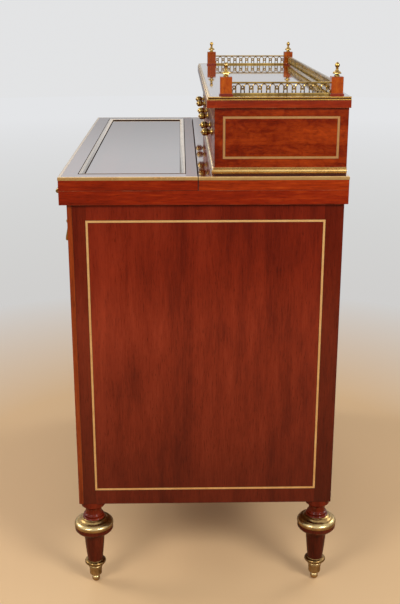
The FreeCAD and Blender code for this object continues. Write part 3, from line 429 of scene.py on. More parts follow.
# %% Brass of each fitting
LINE_TONES = (252, 211, 142), (222, 168, 102)
CASTING_TONES = (224, 197, 140), (122, 94, 52)
BEFORE_FRONTS = (1, -260.0, -226.75)                       # fittings on the drawer fronts, along Y
UPPER_UNIT = (2, 776.0, 960.0, (0.6, 0.5, 0.46, 1.0))      # duller lines of the upper unit, along Z
FRAME_HOLLOW_SHADE = (2, 772.0, 775.3, (0.4, 0.26, 0.18, 1.0))   # painted shade on the inner walls of the flap frame, along Z
GROOVE = (2, 900.75, 902.0, (0.16, 0.1, 0.06, 1.0))        # darker in the groove of the cornice edge, along Z
RING_TOP_PATINA_SHADE = (2, 131.7, 138.5, (0.68, 0.6, 0.5, 1.0))        # patina and painted shade on the steps over the foot rings, along Z
CUP_TOP_REFLECTION = (2, 43.0, 49.0, (0.42, 0.34, 0.26, 1.0))         # painted reflection of the dark shafts where they enter the cups, along Z
line_brass = brass("lines", LINE_TONES, 0.3, 0.42, 1.0, metal=0.6, dim=UPPER_UNIT)
drawer_line_brass = brass("drawer_lines", LINE_TONES, 0.3, 0.42, 1.5, metal=0.6, proud=BEFORE_FRONTS)
edge_strip_brass = brass("edge_strips", [(236, 197, 126), (198, 149, 86)], 0.16, 0.3, 6.0, metal=0.68,
                         lacquer=1.0, dents=0.03)
frame_brass = brass("flap_frame", [(206, 174, 122), (160, 124, 78)], 0.16, 0.3, 10.0, lacquer=1.0,
                    dim=FRAME_HOLLOW_SHADE, dents=0.03)
moulding_brass = brass("mouldings", [(246, 208, 128), (176, 128, 62)], 0.2, 0.36, 7.0, lacquer=0.7,
                       dents=0.02)
cornice_brass = brass("cornice_edge", [(234, 193, 98), (164, 117, 46)], 0.2, 0.36, 8.0, lacquer=0.55,
                      dim=GROOVE, dents=0.02)
ring_brass = brass("foot_rings", CASTING_TONES, 0.21, 0.38, 2.0, dim=RING_TOP_PATINA_SHADE)
cup_brass = brass("foot_cups", CASTING_TONES, 0.21, 0.38, 2.0, dim=CUP_TOP_REFLECTION)
gallery_brass = brass("gallery", [(204, 166, 84), (104, 76, 28)], 0.14, 0.3, 3.0, lacquer=0.5)
pull_brass = brass("pulls", PULL_TONES, 0.14, 0.32, 4.0)
screw_brass = brass("screws", [(190, 150, 84), (110, 78, 40)], 0.25, 0.45, 5.0)
# Screw slots and keyholes are dark solids of painted shade.
slot_shade = brass("screw_slots", [(44, 32, 20), (26, 18, 12)], 0.5, 0.7, 9.0)
print("brass finishes:", len([m for m in bpy.data.materials if m.name.startswith("brass")]))

# %% Leather finish
LEATHER_MIDDLE = -124.0   # middle of the writing leather, front to back
LEATHER_HALF_X = 371.5
LEATHER_HALF_Y = 80.0
BROAD_LINE = 9.0          # edge of the leather to the broad gilt line
LOZENGES = 12.0           # edge of the leather to the row of lozenges
NARROW_LINE = 15.0        # edge of the leather to the narrow gilt line
LOZENGE_STEP = 4.0        # half the way from one lozenge to the next
LOZENGE_REACH = 1.5


def gilt_line(edge, inset, width):
    """One where the distance to the leather's edge lies on a gilt line."""
    off = maths("ABSOLUTE", maths("SUBTRACT", edge, inset * MM))
    return maths("LESS_THAN", off, width * MM / 2)


def tooled_leather(name):
    """Green leather with two gilt lines along its edge and small gilt lozenges between them."""
    material, shader, coordinates = new_finish(name)
    place = coordinates["Object"]
    x = coordinate(place, 0)
    y = maths("SUBTRACT", coordinate(place, 1), LEATHER_MIDDLE * MM)
    to_end = maths("SUBTRACT", LEATHER_HALF_X * MM, maths("ABSOLUTE", x))
    to_front = maths("SUBTRACT", LEATHER_HALF_Y * MM, maths("ABSOLUTE", y))
    edge = maths("MINIMUM", to_end, to_front)
    on_end = maths("LESS_THAN", to_end, to_front)
    steps = [maths("PINGPONG", way, LOZENGE_STEP * MM) for way in (x, y)]
    along = result("ShaderNodeMix", {0: on_end, 2: steps[0], 3: steps[1]})
    off = maths("ABSOLUTE", maths("SUBTRACT", edge, LOZENGES * MM))
    gilt = maths("LESS_THAN", maths("ADD", along, off), LOZENGE_REACH * MM)
    for inset, width in ((BROAD_LINE, 0.9), (NARROW_LINE, 0.5)):
        gilt = maths("MAXIMUM", gilt, gilt_line(edge, inset, width))
    gilt = maths("MULTIPLY", gilt, span(noise(place, 160.0, detail=4.0), 0.38, 0.5))
    wear = noise(place, 9.0, detail=5.0, roughness=0.6)
    hide = ramp(wear, [(0.3, screen_colour(22, 48, 32)), (0.55, screen_colour(34, 66, 44)),
                       (0.75, screen_colour(56, 84, 58))])
    feed(shader, {"Base Color": mix_colour(gilt, hide, screen_colour(206, 164, 82)),
                  "Metallic": maths("MULTIPLY", gilt, 0.9), "Roughness": span(wear, 0.3, 0.7, 0.42, 0.6)})
    pebble = result("ShaderNodeTexVoronoi", {"Vector": place, "Scale": 900.0}, feature="SMOOTH_F1")
    bump(shader, maths("MULTIPLY_ADD", gilt, -0.6, pebble), 0.3, 0.25)
    return material


writing_leather = tooled_leather("leather_tooled")
print("leather ready")

# %% [markdown]
# ## Finishes on the CAD boards
#
# The CAD boards have razor-sharp edges, which no real board has. A Weld modifier joins the loose
# triangles of each node, and a Bevel modifier then eases the edges by about half a millimetre.
# On some boards the eased faces take a second material: a lighter, duller mahogany where edges are rubbed,
# with a painted glint, or dark mahogany for old dirt and painted shade where two boards meet.
# Fronts with holes for pulls stay sharp, because a bevel splits the thin triangles round a hole.

# %% Dress the boards
dressed = []


def dress(finish, *names, ease=0.0, edge_finish=None):
    """Give CAD nodes their finish and, where they are boards, eased edges."""
    for name in names:
        dressed.append(name)
        board = nodes[name]
        board.data.materials.clear()
        board.data.materials.append(finish)
        if ease:
            weld = board.modifiers.new("join_triangles", "WELD")
            weld.merge_threshold = 0.01 * MM
            bevel = board.modifiers.new("eased_edges", "BEVEL")
            bevel.width = ease * MM
            bevel.segments = 2
            bevel.limit_method = "ANGLE"
            bevel.angle_limit = math.radians(50)
            bevel.harden_normals = True
            if edge_finish:
                board.data.materials.append(edge_finish)
                bevel.material = 1


dress(side_wood, "side_panels", ease=0.4, edge_finish=joint_dirt)
dress(stile_wood, "front_frame", ease=0.4)
dress(front_wood, "frieze_partitions", ease=0.4)
dress(table_wood, "table_top", ease=0.7, edge_finish=worn_edge)
dress(rear_wood, "rear_top", ease=0.45, edge_finish=joint_dirt)
dress(flap_wood, "flap_board", ease=0.6, edge_finish=joint_dirt)
dress(panel_wood, "flap_panel")
dress(unit_wood, "gradin_sides", ease=0.3, edge_finish=joint_dirt)
dress(unit_front_wood, "gradin_uprights")
dress(cornice_wood, "gradin_cornice", ease=0.5, edge_finish=worn_edge)
dress(post_wood, "gallery_posts", ease=0.6, edge_finish=worn_edge)
dress(back_oak, "back_panel", "gradin_back", ease=0.5)
dress(floor_oak, "bottom_board", "gradin_floor", ease=0.5)
dress(box_oak, "drawer_runners")
dress(line_brass, "end_stringing")
dress(edge_strip_brass, "rear_edge_brass", "flap_edge_brass")
dress(pull_brass, "hinge_table_leaves", "hinge_flap_leaves", ease=0.2)
dress(screw_brass, "hinge_pins")
dress(writing_leather, "table_leather", "flap_leather")
for drawer in ("frieze_left", "frieze_middle", "frieze_right", "long_lower", "long_upper"):
    dress(front_wood, drawer + "_front")
    dress(box_oak, drawer + "_box")
    dress(drawer_line_brass, drawer + "_brass")
for place in ("left", "middle", "right"):
    dress(unit_front_wood, f"gradin_{place}_drawer", ease=0.3)
    dress(line_brass, f"gradin_{place}_brass")
print("dressed nodes:", len(dressed))

# %% [markdown]
# ## Helpers for shapes
#
# Turned work, bent bars and mouldings are all an outline carried along a path: round an axis, along a bent
# line, or round corners with mitres. Blender's Screw modifier and curves could make them too, but then the
# corners of an outline can't be kept crisp one by one, so a few short mesh functions do it here.


# %% Outlines
def bead(inner, outer, low, high, steps=10):
    """Outline of a half-round bead between two heights."""
    points = []
    for k in range(steps + 1):
        angle = math.pi * k / steps
        height = (low + high - (high - low) * math.cos(angle)) / 2
        points.append((inner + (outer - inner) * math.sin(angle), height))
    return points


def sweep(start, end, bulge, steps=10):
    """Outline from one point to another that bows sideways by the given amount, outwards if positive."""
    along = Vector(end) - Vector(start)
    side = Vector((along.y, -along.x)).normalized()
    points = []
    for k in range(steps + 1):
        part = k / steps
        points.append(tuple(Vector(start) + along * part + side * (4 * bulge * part * (1 - part))))
    return points


def raised(outline, height):
    """The same outline higher up."""
    return [(out, height + z) for out, z in outline]


def plan(left, right, front, back):
    """Corners of a rectangle, from the back round the front."""
    return [(left, back), (left, front), (right, front), (right, back)]


print("outline helpers ready")


# %% Shapes from outlines
def skin(shape, loops, closed=False):
    """Faces between neighbouring loops of corners, and a cap at each end of a row that isn't closed."""
    row = loops + loops[:1] if closed else loops
    for low, high in zip(row, row[1:]):
        for k in range(max(len(low), len(high))):
            n = k + 1
            corners = [low[k % len(low)], low[n % len(low)], high[n % len(high)], high[k % len(high)]]
            shape.faces.new(list(dict.fromkeys(corners)))
    if not closed:
        for loop in (loops[0], loops[-1]):
            if len(loop) > 1:
                shape.faces.new(loop)


def turn(shape, outline, centre=(0, 0, 0), sides=56, ring=False, lobes=None):
    """Turn an outline of (radius, height) pairs round Z.

    A ring's outline is closed. Lobes are (lowest, highest, count, depth): petals between two heights.
    """
    loops = []
    for radius, height in outline:
        loop = []
        for k in range(sides if radius > 0 else 1):
            angle = 2 * math.pi * k / sides
            reach = radius
            if lobes and lobes[0] <= height <= lobes[1]:
                swell = math.sin(math.pi * (height - lobes[0]) / (lobes[1] - lobes[0]))
                reach *= 1 + lobes[3] * swell * math.cos(lobes[2] * angle)
            place = Vector((reach * math.cos(angle), reach * math.sin(angle), height)) + Vector(centre)
            loop.append(shape.verts.new(place * MM))
        loops.append(loop)
    skin(shape, loops, ring)


def tube(shape, points, radii, sides=14):
    """Round bar along a path in the XZ plane, with a radius at each point."""
    loops = []
    side = Vector((0, 1, 0))
    for k, point in enumerate(points):
        before = Vector(points[max(k - 1, 0)])
        after = Vector(points[min(k + 1, len(points) - 1)])
        other = (after - before).normalized().cross(side)
        loop = []
        for n in range(sides):
            angle = 2 * math.pi * n / sides
            offset = side * math.cos(angle) + other * math.sin(angle)
            loop.append(shape.verts.new((Vector(point) + offset * radii[k]) * MM))
        loops.append(loop)
    skin(shape, loops)


def moulding(shape, profile, path, closed=False):
    """Moulding with mitred corners. Profile points are (outward, height), outward on the path's right."""
    ends = path + path[:1] if closed else path
    normals = []
    for a, b in zip(ends, ends[1:]):
        leg = (Vector(b) - Vector(a)).normalized()
        normals.append(Vector((leg.y, -leg.x)))
    loops = []
    for k, corner in enumerate(path):
        outward = Vector((0, 0))
        if k > 0 or closed:
            outward += normals[k - 1]
        if k < len(normals):
            outward += normals[k]
        loop = []
        for out, height in profile:
            flat = Vector(corner) + outward * out
            loop.append(shape.verts.new((flat.x * MM, flat.y * MM, height * MM)))
        loops.append(loop)
    skin(shape, loops, closed)


print("shape helpers ready")


# %% Meshes and pieces
def as_mesh(shape, finish):
    """Plain mesh of a shape, with its finish."""
    mesh = bpy.data.meshes.new("shape")
    shape.to_mesh(mesh)
    shape.free()
    mesh.materials.append(finish)
    return mesh


def finished(shape, finish, crease=32):
    """Turn a shape into a mesh: normals outwards, smooth but for edges sharper than the crease."""
    bmesh.ops.recalc_face_normals(shape, faces=shape.faces)
    for face in shape.faces:
        face.smooth = True
    for edge in shape.edges:
        edge.smooth = edge.calc_face_angle(0.0) < math.radians(crease)
    return as_mesh(shape, finish)


def turned(outlines, finish, places=((0, 0, 0),), **how):
    """Mesh of outlines that share an axis, turned at each of some places."""
    shape = bmesh.new()
    for place in places:
        for outline in outlines:
            turn(shape, outline, place, **how)
    return finished(shape, finish)


def moulded(profiles, paths, finish, closed=False):
    """Mesh of profiles that run together along each of some paths."""
    shape = bmesh.new()
    for path in paths:
        for profile in profiles:
            moulding(shape, profile, path, closed)
    return finished(shape, finish)


def piece(name, mesh, body, slot, *stands_for):
    """Put a mesh in the scene as a piece that moves with a body, in place of some CAD nodes."""
    mesh.name = name
    thing = bpy.data.objects.new(name, mesh)
    scene.collection.objects.link(thing)
    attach(thing, body)
    if stands_for:
        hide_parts(*stands_for)
    print(name, len(mesh.polygons), "faces, on", body)


print("mesh helpers ready")

# %% [markdown]
# ## Feet
#
# Each foot is three pieces on one axis: a turned mahogany neck and tapered shaft, a broad cast ring,
# and a cast cup that ends in a ball. A lathe outline gives each, with beads, hollows and a bowl under
# the ring.
# They could be carved from cylinders with loop cuts, but an outline is how a turner thinks of them too.

# %% Turned feet
FOOT_PLACES = [(x, y, 0) for x in (-374.5, 374.5) for y in (-203.0, 211.5)]
neck_outline = [(8.0, 137.2), (18.9, 137.2)] + bead(18.4, 20.2, 137.4, 141.4, 6)
neck_outline += [(17.0, 141.7), (17.0, 142.3)] + bead(16.4, 18.2, 142.5, 146.5, 6) + [(15.8, 146.8)]
neck_outline += sweep((15.6, 147.0), (14.8, 152.0), -0.3, 5) + sweep((14.9, 152.4), (20.6, 163.4), -2.0, 12)
neck_outline += [(21.4, 163.6), (21.6, 164.6), (22.2, 164.8), (22.2, 174.5)]
shaft_outline = [(6.0, 47.0), (13.9, 47.0)] + sweep((14.0, 48.4), (18.2, 92.0), 0.2, 10)
shaft_outline += sweep((18.3, 93.0), (22.6, 106.4), -1.2, 8) + sweep((23.0, 106.7), (34.7, 114.2), 1.8, 12)
shaft_outline += [(35.2, 114.8), (35.2, 121.2), (28.0, 121.4)]
foot_mesh = turned([neck_outline, shaft_outline], foot_wood, FOOT_PLACES)
piece("turned_feet", foot_mesh, "chest", "mahogany", "foot_turnings")

# %% Cast rings and foot cups
BALL_RADIUS = 7.5
BALL_FLAT = 0.16          # cut off the ball where it stands
ring_outline = [(20.0, 121.3), (34.8, 121.3)] + sweep((35.3, 121.8), (31.0, 131.6), 2.4, 16)
ring_outline += [(30.2, 132.0), (30.0, 132.6)] + sweep((29.4, 132.8), (23.6, 135.4), -0.6, 6)
ring_outline += [(23.0, 135.8), (22.8, 136.6)] + sweep((22.4, 136.8), (19.8, 138.0), -0.2, 3)
ring_outline += [(18.0, 138.0), (18.0, 123.0)]
cup_outline = []
for k in range(15):
    angle = math.radians(9 * k - 78)
    cup_outline.append((BALL_RADIUS * math.cos(angle), BALL_RADIUS * (1 + math.sin(angle)) - BALL_FLAT))
cup_outline += [(4.9, 13.6), (4.9, 15.0), (9.4, 15.4)] + sweep((10.4, 15.8), (11.4, 19.0), 0.4, 4)
cup_outline += [(11.3, 19.6), (11.7, 31.4), (12.0, 31.8)] + bead(11.8, 13.4, 32.2, 36.4, 8) + [(12.5, 36.8)]
cup_outline += sweep((12.7, 37.0), (16.2, 39.8), -0.6, 6) + bead(16.0, 19.7, 40.0, 47.0, 12)
cup_outline += [(14.9, 47.4), (14.4, 48.4), (13.6, 48.4), (13.6, 44.0)]
ring_mesh = turned([ring_outline], ring_brass, FOOT_PLACES, sides=72, ring=True)
piece("foot_ring_castings", ring_mesh, "chest", "brass", "foot_rings")
cup_mesh = turned([cup_outline], cup_brass, FOOT_PLACES, sides=48)
piece("foot_cup_castings", cup_mesh, "chest", "brass", "foot_sabots")

# %% [markdown]
# ## Brass mouldings of the upper unit
#
# A half-round brass moulding hides the joint between the upper unit and the table, and a stepped one edges
# the cornice. Both run along three sides with mitred corners. The outlines have a fillet and a bead,
# which catch the light as two bright lines, as in the photo.

# %% Base moulding and cornice edge
TABLE_HEIGHT = 776.8
CORNICE_TOP = 904.0
UNIT_PATH = plan(-394.5, 394.5, 17.0, 234.0)
CORNICE_PATH = plan(-402.3, 402.3, 4.5, 236.0)
base_profile = [(-0.5, 0.0), (1.4, 0.0)] + bead(1.4, 4.2, 0.2, 7.8, 12)
base_profile += [(1.2, 8.2), (1.9, 8.5), (1.9, 10.2), (1.5, 10.6), (-0.5, 10.6)]
edge_profile = [(-6.0, -5.5), (-1.4, -5.5)] + bead(-1.4, -0.4, -5.4, -3.4, 8) + [(-3.4, -3.2), (-3.4, -2.1)]
edge_profile += bead(-2.9, -1.6, -2.0, 0.1, 8) + [(-3.6, 0.25), (-6.0, 0.25)]
base_mesh = moulded([raised(base_profile, TABLE_HEIGHT + 2.8)], [UNIT_PATH], moulding_brass)
piece("unit_base_moulding", base_mesh, "chest", "brass", "gradin_base_moulding")
edge_mesh = moulded([raised(edge_profile, CORNICE_TOP)], [CORNICE_PATH], cornice_brass)
piece("cornice_edge_moulding", edge_mesh, "chest", "brass", "gradin_cornice_brass")

# %% Post plinths and the bevel in the seam
POST_WIDE = 19.5
plinth_profile = [(-2.0, -0.5), (1.5, -0.5), (1.5, 1.9), (0.9, 2.3), (0.5, 2.9), (-2.0, 2.9)]
plinth_paths = [plan(x, x + POST_WIDE, y, y + POST_WIDE) for x in (-376.8, 357.3) for y in (26.5, 206.5)]
plinth_mesh = moulded([raised(plinth_profile, CORNICE_TOP)], plinth_paths, cornice_wood, closed=True)
piece("post_plinths", plinth_mesh, "chest", "mahogany")
seam_profile = [(-0.4, 754.2), (1.05, 754.4), (0.05, 776.2), (-0.4, 776.2)]
seam_mesh = moulded([seam_profile], [[(-405.3, -8.8), (405.3, -8.8)]], rear_wood)
piece("rear_top_bevel", seam_mesh, "chest", "mahogany")

# %% Frame round the flap panel
FRAME_PATH = plan(-374.5, 374.5, -207.0, -30.0)
frame_profile = [(-0.05, 773.0), (-0.05, 777.0), (-0.35, 777.25), (-1.2, 777.3), (-7.6, 776.2)]
frame_profile += [(-8.4, 775.9), (-8.75, 775.4), (-8.75, 773.0)]
# Dark fillets beside the frame hold dirt and painted shade in its grooves.
outer_fillet = [(-0.05, 776.6), (-0.05, 777.1), (0.1, 777.2), (0.9, 777.2), (1.1, 777.0), (1.1, 776.6)]
inner_fillet = [(-8.6, 773.4), (-8.6, 775.4), (-9.0, 775.4), (-9.2, 775.2), (-9.2, 773.4)]
frame_mesh = moulded([frame_profile], [FRAME_PATH], frame_brass, closed=True)
piece("flap_frame_moulding", frame_mesh, "flap", "brass", "flap_brass_frame")
groove_mesh = moulded([outer_fillet, inner_fillet], [FRAME_PATH], groove_dirt, closed=True)
piece("flap_frame_groove", groove_mesh, "flap", "mahogany")

# %% [markdown]
# ## Geometry Nodes helpers
#
# What repeats is grown by Geometry Nodes: a tree with named sizes as inputs, run once per set of sizes,
# and then turned into a plain mesh. One helper makes an empty tree, one runs a finished one,
# and one sets out copies of the meshes and joins them.


# %% Geometry tree helpers
def new_tree(name, sizes):
    """Geometry tree with inputs named by kind, its input sockets by name, and a function that closes it."""
    tree = bpy.data.node_groups.new(name, "GeometryNodeTree")
    tree.is_modifier = True
    for kind, labels in {"Geometry": ["Points"], **sizes, "Material": ["Finish"]}.items():
        for label in labels:
            tree.interface.new_socket(label, in_out="INPUT", socket_type="NodeSocket" + kind)
    tree.interface.new_socket("Result", in_out="OUTPUT", socket_type="NodeSocketGeometry")
    start = tree.nodes.new("NodeGroupInput").outputs

    def close(*parts):
        together = tree.nodes.new("GeometryNodeJoinGeometry")
        for part in parts:
            feed(together, {0: part})
        real = result("GeometryNodeRealizeInstances", {0: together.outputs[0]})
        smooth = result("GeometryNodeSetShadeSmooth", {0: real})
        coated = result("GeometryNodeSetMaterial", {0: smooth, "Material": start["Finish"]})
        put("NodeGroupOutput", {0: coated})

    return tree, start, close


def vector(x=0.0, y=0.0, z=0.0):
    """Vector from three numbers or sockets."""
    return result("ShaderNodeCombineXYZ", {0: x, 1: y, 2: z})


def grow(tree, points=(), **sizes):
    """Run a geometry tree on some points, with sizes by input name, and return a plain mesh."""
    seed_mesh = bpy.data.meshes.new("seed_points")
    seed_mesh.from_pydata([Vector(p) * MM for p in points], [], [])
    holder = bpy.data.objects.new("seed_points", seed_mesh)
    scene.collection.objects.link(holder)
    modifier = holder.modifiers.new("grow", "NODES")
    modifier.node_group = tree
    for item in tree.interface.items_tree:
        label = item.name.replace(" ", "_").lower()
        if item.in_out == "INPUT" and label in sizes:
            is_length = item.socket_type == "NodeSocketFloat"
            modifier[item.identifier] = sizes[label] * MM if is_length else sizes[label]
    evaluated = holder.evaluated_get(bpy.context.evaluated_depsgraph_get())
    mesh = bpy.data.meshes.new_from_object(evaluated)
    bpy.data.objects.remove(holder)
    bpy.data.meshes.remove(seed_mesh)
    return mesh


def at(x, y, z):
    """Matrix that moves a mesh to a place."""
    return Matrix.Translation(Vector((x, y, z)) * MM)


def gathered(parts):
    """Join meshes, each with a place given as a matrix, into one mesh with the first one's finish."""
    shape = bmesh.new()
    for mesh, place in parts:
        moved = mesh.copy()
        moved.transform(place)
        shape.from_mesh(moved)
        bpy.data.meshes.remove(moved)
    return as_mesh(shape, parts[0][0].materials[0])


print("geometry tree helpers ready")

# %% [markdown]
# ## Gallery
#
# The gallery is cast brass, pierced with tall arches, and between them short arches with a small eye above.
# One bay is three bent wires, so a tree bends them once and sets a copy at every bay of a strip.
# Modelling it as a plane with an image of holes would be quicker, but it would look flat from the side.

# %% Gallery bays
UPRIGHT = (math.pi / 2, 0, 0)
gallery_tree, start, close_tree = new_tree("gallery_bays", {
    "Int": ["Bays"], "Float": ["Bay", "First", "Wire", "Foot", "Tall Half", "Tall Spring", "Short Half",
                               "Short Spring", "Eye", "Eye Height"]})


def wire_arch(half, spring, foot, bend_steps):
    """Arch bent from wire: two legs and a round head, as a curve in the XZ plane."""
    head = result("GeometryNodeCurveArc", {"Resolution": bend_steps, "Radius": half, "Sweep Angle": math.pi})
    inputs = {0: head, "Translation": vector(z=spring), "Rotation": UPRIGHT}
    curves = put("GeometryNodeJoinGeometry", {0: result("GeometryNodeTransform", inputs)})
    for x in (maths("MULTIPLY", half, -1.0), half):
        leg = result("GeometryNodeCurvePrimitiveLine", {
            "Start": vector(x, 0.0, foot), "End": vector(x, 0.0, spring)})
        feed(curves, {0: leg})
    return curves.outputs[0]


def wires_every_bay(curve, wire, count, first, bay):
    """Copies of a curve as wire of some radius, one bay apart."""
    section = result("GeometryNodeCurvePrimitiveCircle", {"Resolution": 6, "Radius": wire})
    bent = result("GeometryNodeCurveToMesh", {0: curve, "Profile Curve": section, "Fill Caps": True})
    inputs = {"Count": count, "Start Location": vector(first), "Offset": vector(bay)}
    line = result("GeometryNodeMeshLine", inputs)
    return result("GeometryNodeInstanceOnPoints", {0: line, "Instance": bent})


tall = wire_arch(start["Tall Half"], start["Tall Spring"], start["Foot"], 12)
short = wire_arch(start["Short Half"], start["Short Spring"], start["Foot"], 9)
eye_ring = result("GeometryNodeCurvePrimitiveCircle", {"Resolution": 10, "Radius": start["Eye"]})
eye = result("GeometryNodeTransform", {
    0: eye_ring, "Translation": vector(z=start["Eye Height"]), "Rotation": UPRIGHT})
first_tall = maths("MULTIPLY_ADD", start["Bay"], 0.5, start["First"])
bays_and_one = maths("ADD", start["Bays"], 1.0)
rows = ((tall, start["Bays"], first_tall), (short, bays_and_one, start["First"]),
        (eye, bays_and_one, start["First"]))
close_tree(*[wires_every_bay(curve, start["Wire"], count, first, start["Bay"])
             for curve, count, first in rows])
print("gallery tree nodes:", len(gallery_tree.nodes))

# %% Gallery strips
GALLERY_X = 367.05        # middle of the strips at the ends
GALLERY_Y = 216.25        # middle of the strip at the back
END_STRIP = 160.5
BACK_STRIP = 714.6
STRIP_END_INSET = 3.6     # post to the first short arch
TALL_HALF = 4.1
bottom_rail = [(-2.0, 0.0), (2.0, 0.0), (2.0, 1.1), (1.5, 1.5), (1.2, 2.2), (0.9, 3.3), (-0.9, 3.3),
               (-1.2, 2.2), (-1.5, 1.5), (-2.0, 1.1)]
top_rail = [(-1.1, 18.0), (1.1, 18.0), (1.1, 18.7), (1.9, 19.2), (2.0, 20.1), (1.5, 20.8), (0.5, 21.0),
            (-0.5, 21.0), (-1.5, 20.8), (-2.0, 20.1), (-1.9, 19.2), (-1.1, 18.7)]


def gallery_strip(length, bays):
    """One strip along X from the origin, standing on the cornice: bays of wire between two moulded rails."""
    bay = (length - 2 * STRIP_END_INSET) / bays
    wires = grow(gallery_tree, bays=bays, bay=bay, first=STRIP_END_INSET, wire=0.92, foot=2.6,
                 tall_half=TALL_HALF, tall_spring=13.2, short_half=bay / 2 - TALL_HALF, short_spring=6.4,
                 eye=2.1, eye_height=12.3, finish=gallery_brass)
    strip = bmesh.new()
    strip.from_mesh(wires)
    for profile in (bottom_rail, top_rail):
        moulding(strip, profile, [(0.0, 0.0), (length, 0.0)])
    return finished(strip, gallery_brass, crease=50)


end_strip = gallery_strip(END_STRIP, 11)
quarter = Matrix.Rotation(math.pi / 2, 4, "Z")
strips = [(end_strip, at(x, 46.0, CORNICE_TOP) @ quarter) for x in (-GALLERY_X, GALLERY_X)]
strips.append((gallery_strip(BACK_STRIP, 51), at(-BACK_STRIP / 2, GALLERY_Y, CORNICE_TOP)))
piece("pierced_gallery", gathered(strips), "chest", "brass", "gallery_rails")

# %% [markdown]
# ## Rings of beads
#
# Finials, pull plates and keyhole plates are edged with small cast beads. A tree sets a low-sided ball at
# every point of a circle, which may be squeezed into an oval, and each fitting has a ring of its own size.

# %% Bead rings
bead_tree, start, close_tree = new_tree("bead_ring", {"Int": ["Count"], "Float": ["Across", "Up", "Bead"]})
circle = result("GeometryNodeMeshCircle", {"Vertices": start["Count"], "Radius": 1.0})
oval = result("GeometryNodeTransform", {0: circle, "Scale": vector(start["Across"], start["Up"], 1.0)})
ball = result("GeometryNodeMeshUVSphere", {"Segments": 8, "Rings": 5, "Radius": start["Bead"]})
close_tree(result("GeometryNodeInstanceOnPoints", {0: oval, "Instance": ball}))
finial_beads = grow(bead_tree, count=14, across=3.8, up=3.8, bead=0.85, finish=gallery_brass)
plate_beads = grow(bead_tree, count=26, across=11.3, up=11.3, bead=0.75, finish=pull_brass)
oval_beads = grow(bead_tree, count=44, across=8.2, up=13.5, bead=0.62, finish=pull_brass)
print("bead rings:", [len(ring.polygons) for ring in (finial_beads, plate_beads, oval_beads)], "faces")

# %% Finials
POST_TOP = 933.3
BEADS_UP = 1.5            # foot of a finial or a plate to its ring of beads
finial_outline = [(4.3, -0.2), (4.3, 0.7), (3.5, 0.9), (3.5, 2.2), (2.9, 2.6), (2.9, 4.8), (6.3, 4.1)]
finial_outline += [(6.9, 4.3)] + sweep((6.9, 4.8), (4.7, 7.8), 0.5, 6)
finial_outline += sweep((4.6, 8.0), (2.4, 10.8), -0.4, 5) + [(2.0, 11.4)]
finial_outline += bead(1.9, 2.8, 11.7, 13.0, 5) + [(1.7, 13.3)] + sweep((1.8, 13.5), (3.9, 17.4), 0.5, 6)
finial_outline += sweep((3.9, 17.8), (0.9, 22.4), 0.8, 7) + [(0.0, 22.9)]
finial = turned([finial_outline], gallery_brass, sides=32, lobes=(4.0, 11.4, 8, 0.09))
finial_parts = []
for x in (-GALLERY_X, GALLERY_X):
    for y in (36.25, GALLERY_Y):
        finial_parts.append((finial, at(x, y, POST_TOP)))
        finial_parts.append((finial_beads, at(x, y, POST_TOP + BEADS_UP)))
piece("cast_finials", gathered(finial_parts), "chest", "brass", "gallery_finials")

# %% [markdown]
# ## Drawer pulls and knobs
#
# Each pull is a bail that swings between two posts. The bail is a bar that is bent twice on each side and
# swells to an olive in the middle of the grip. Each post has a plate with petals and a ring of beads, and
# an eye in which the bail turns. A curve with a bevel could make the bail, but its thickness changes along
# the way, which a list of points with a radius each says more plainly.

# %% Bails
CHEST_FRONT = -226.5
PIVOT = CHEST_FRONT - 9.0   # line on which the bails swing, along Y
POST_APART = 42.0           # middle of a pull to each of its posts
BAIL_TILT = math.radians(-10.0)
GRIP = -38.0                # pivot to the middle of the grip
FRIEZE_PULLS = {"left": -250.0, "middle": 0.0, "right": 250.0}
FRIEZE_PULL_HEIGHT = 679.0
LONG_PULLS = {"left": -184.0, "right": 184.0}
LONG_PULL_HEIGHTS = {"lower": 313.5, "upper": 529.5}
half_bail = [(44.2, 0, 1.38), (37.5, 0, 1.38), (37.4, 0, 2.2)]
for k in range(1, 7):
    angle = math.radians(90 + 15 * k)
    half_bail.append((37 + 4.5 * math.cos(angle), -4.5 + 4.5 * math.sin(angle), 2.2 + 0.05 * k))
half_bail += [(32.5, -6.4, 2.5), (32.5, -6.6, 3.1), (32.5, -7.8, 3.1), (32.5, -8.0, 2.4)]
half_bail += [(32.5, -18.0, 2.15), (32.5, -26.0, 2.4)]
for k in range(7):
    angle = math.radians(-15 * k)
    half_bail.append((23.5 + 9 * math.cos(angle), -29 + 9 * math.sin(angle), 2.5))
grip = [(17.2, 2.4), (17.0, 3.4), (15.8, 3.4), (15.6, 2.5), (14.0, 2.6), (10.5, 3.2), (7.0, 3.7), (3.5, 4.0)]
half_bail += [(x, GRIP, radius) for x, radius in grip]
whole_bail = half_bail + [(0, GRIP, 4.1)] + [(-x, z, radius) for x, z, radius in reversed(half_bail)]
bail_shape = bmesh.new()
tube(bail_shape, [(x, 0, z) for x, z, radius in whole_bail], [radius for x, z, radius in whole_bail])
bail = finished(bail_shape, pull_brass, crease=40)


def hang_bail(name, x, z):
    """Hang one bail between its posts, in place of the CAD bail of that name."""
    place = at(x, PIVOT, z) @ Matrix.Rotation(BAIL_TILT, 4, "X")
    piece(name + "_bar", gathered([(bail, place)]), name, "brass", name)


for place, x in FRIEZE_PULLS.items():
    hang_bail(f"frieze_{place}_bail", x, FRIEZE_PULL_HEIGHT)
for height, z in LONG_PULL_HEIGHTS.items():
    for hand, x in LONG_PULLS.items():
        hang_bail(f"long_{height}_bail_{hand}", x, z)

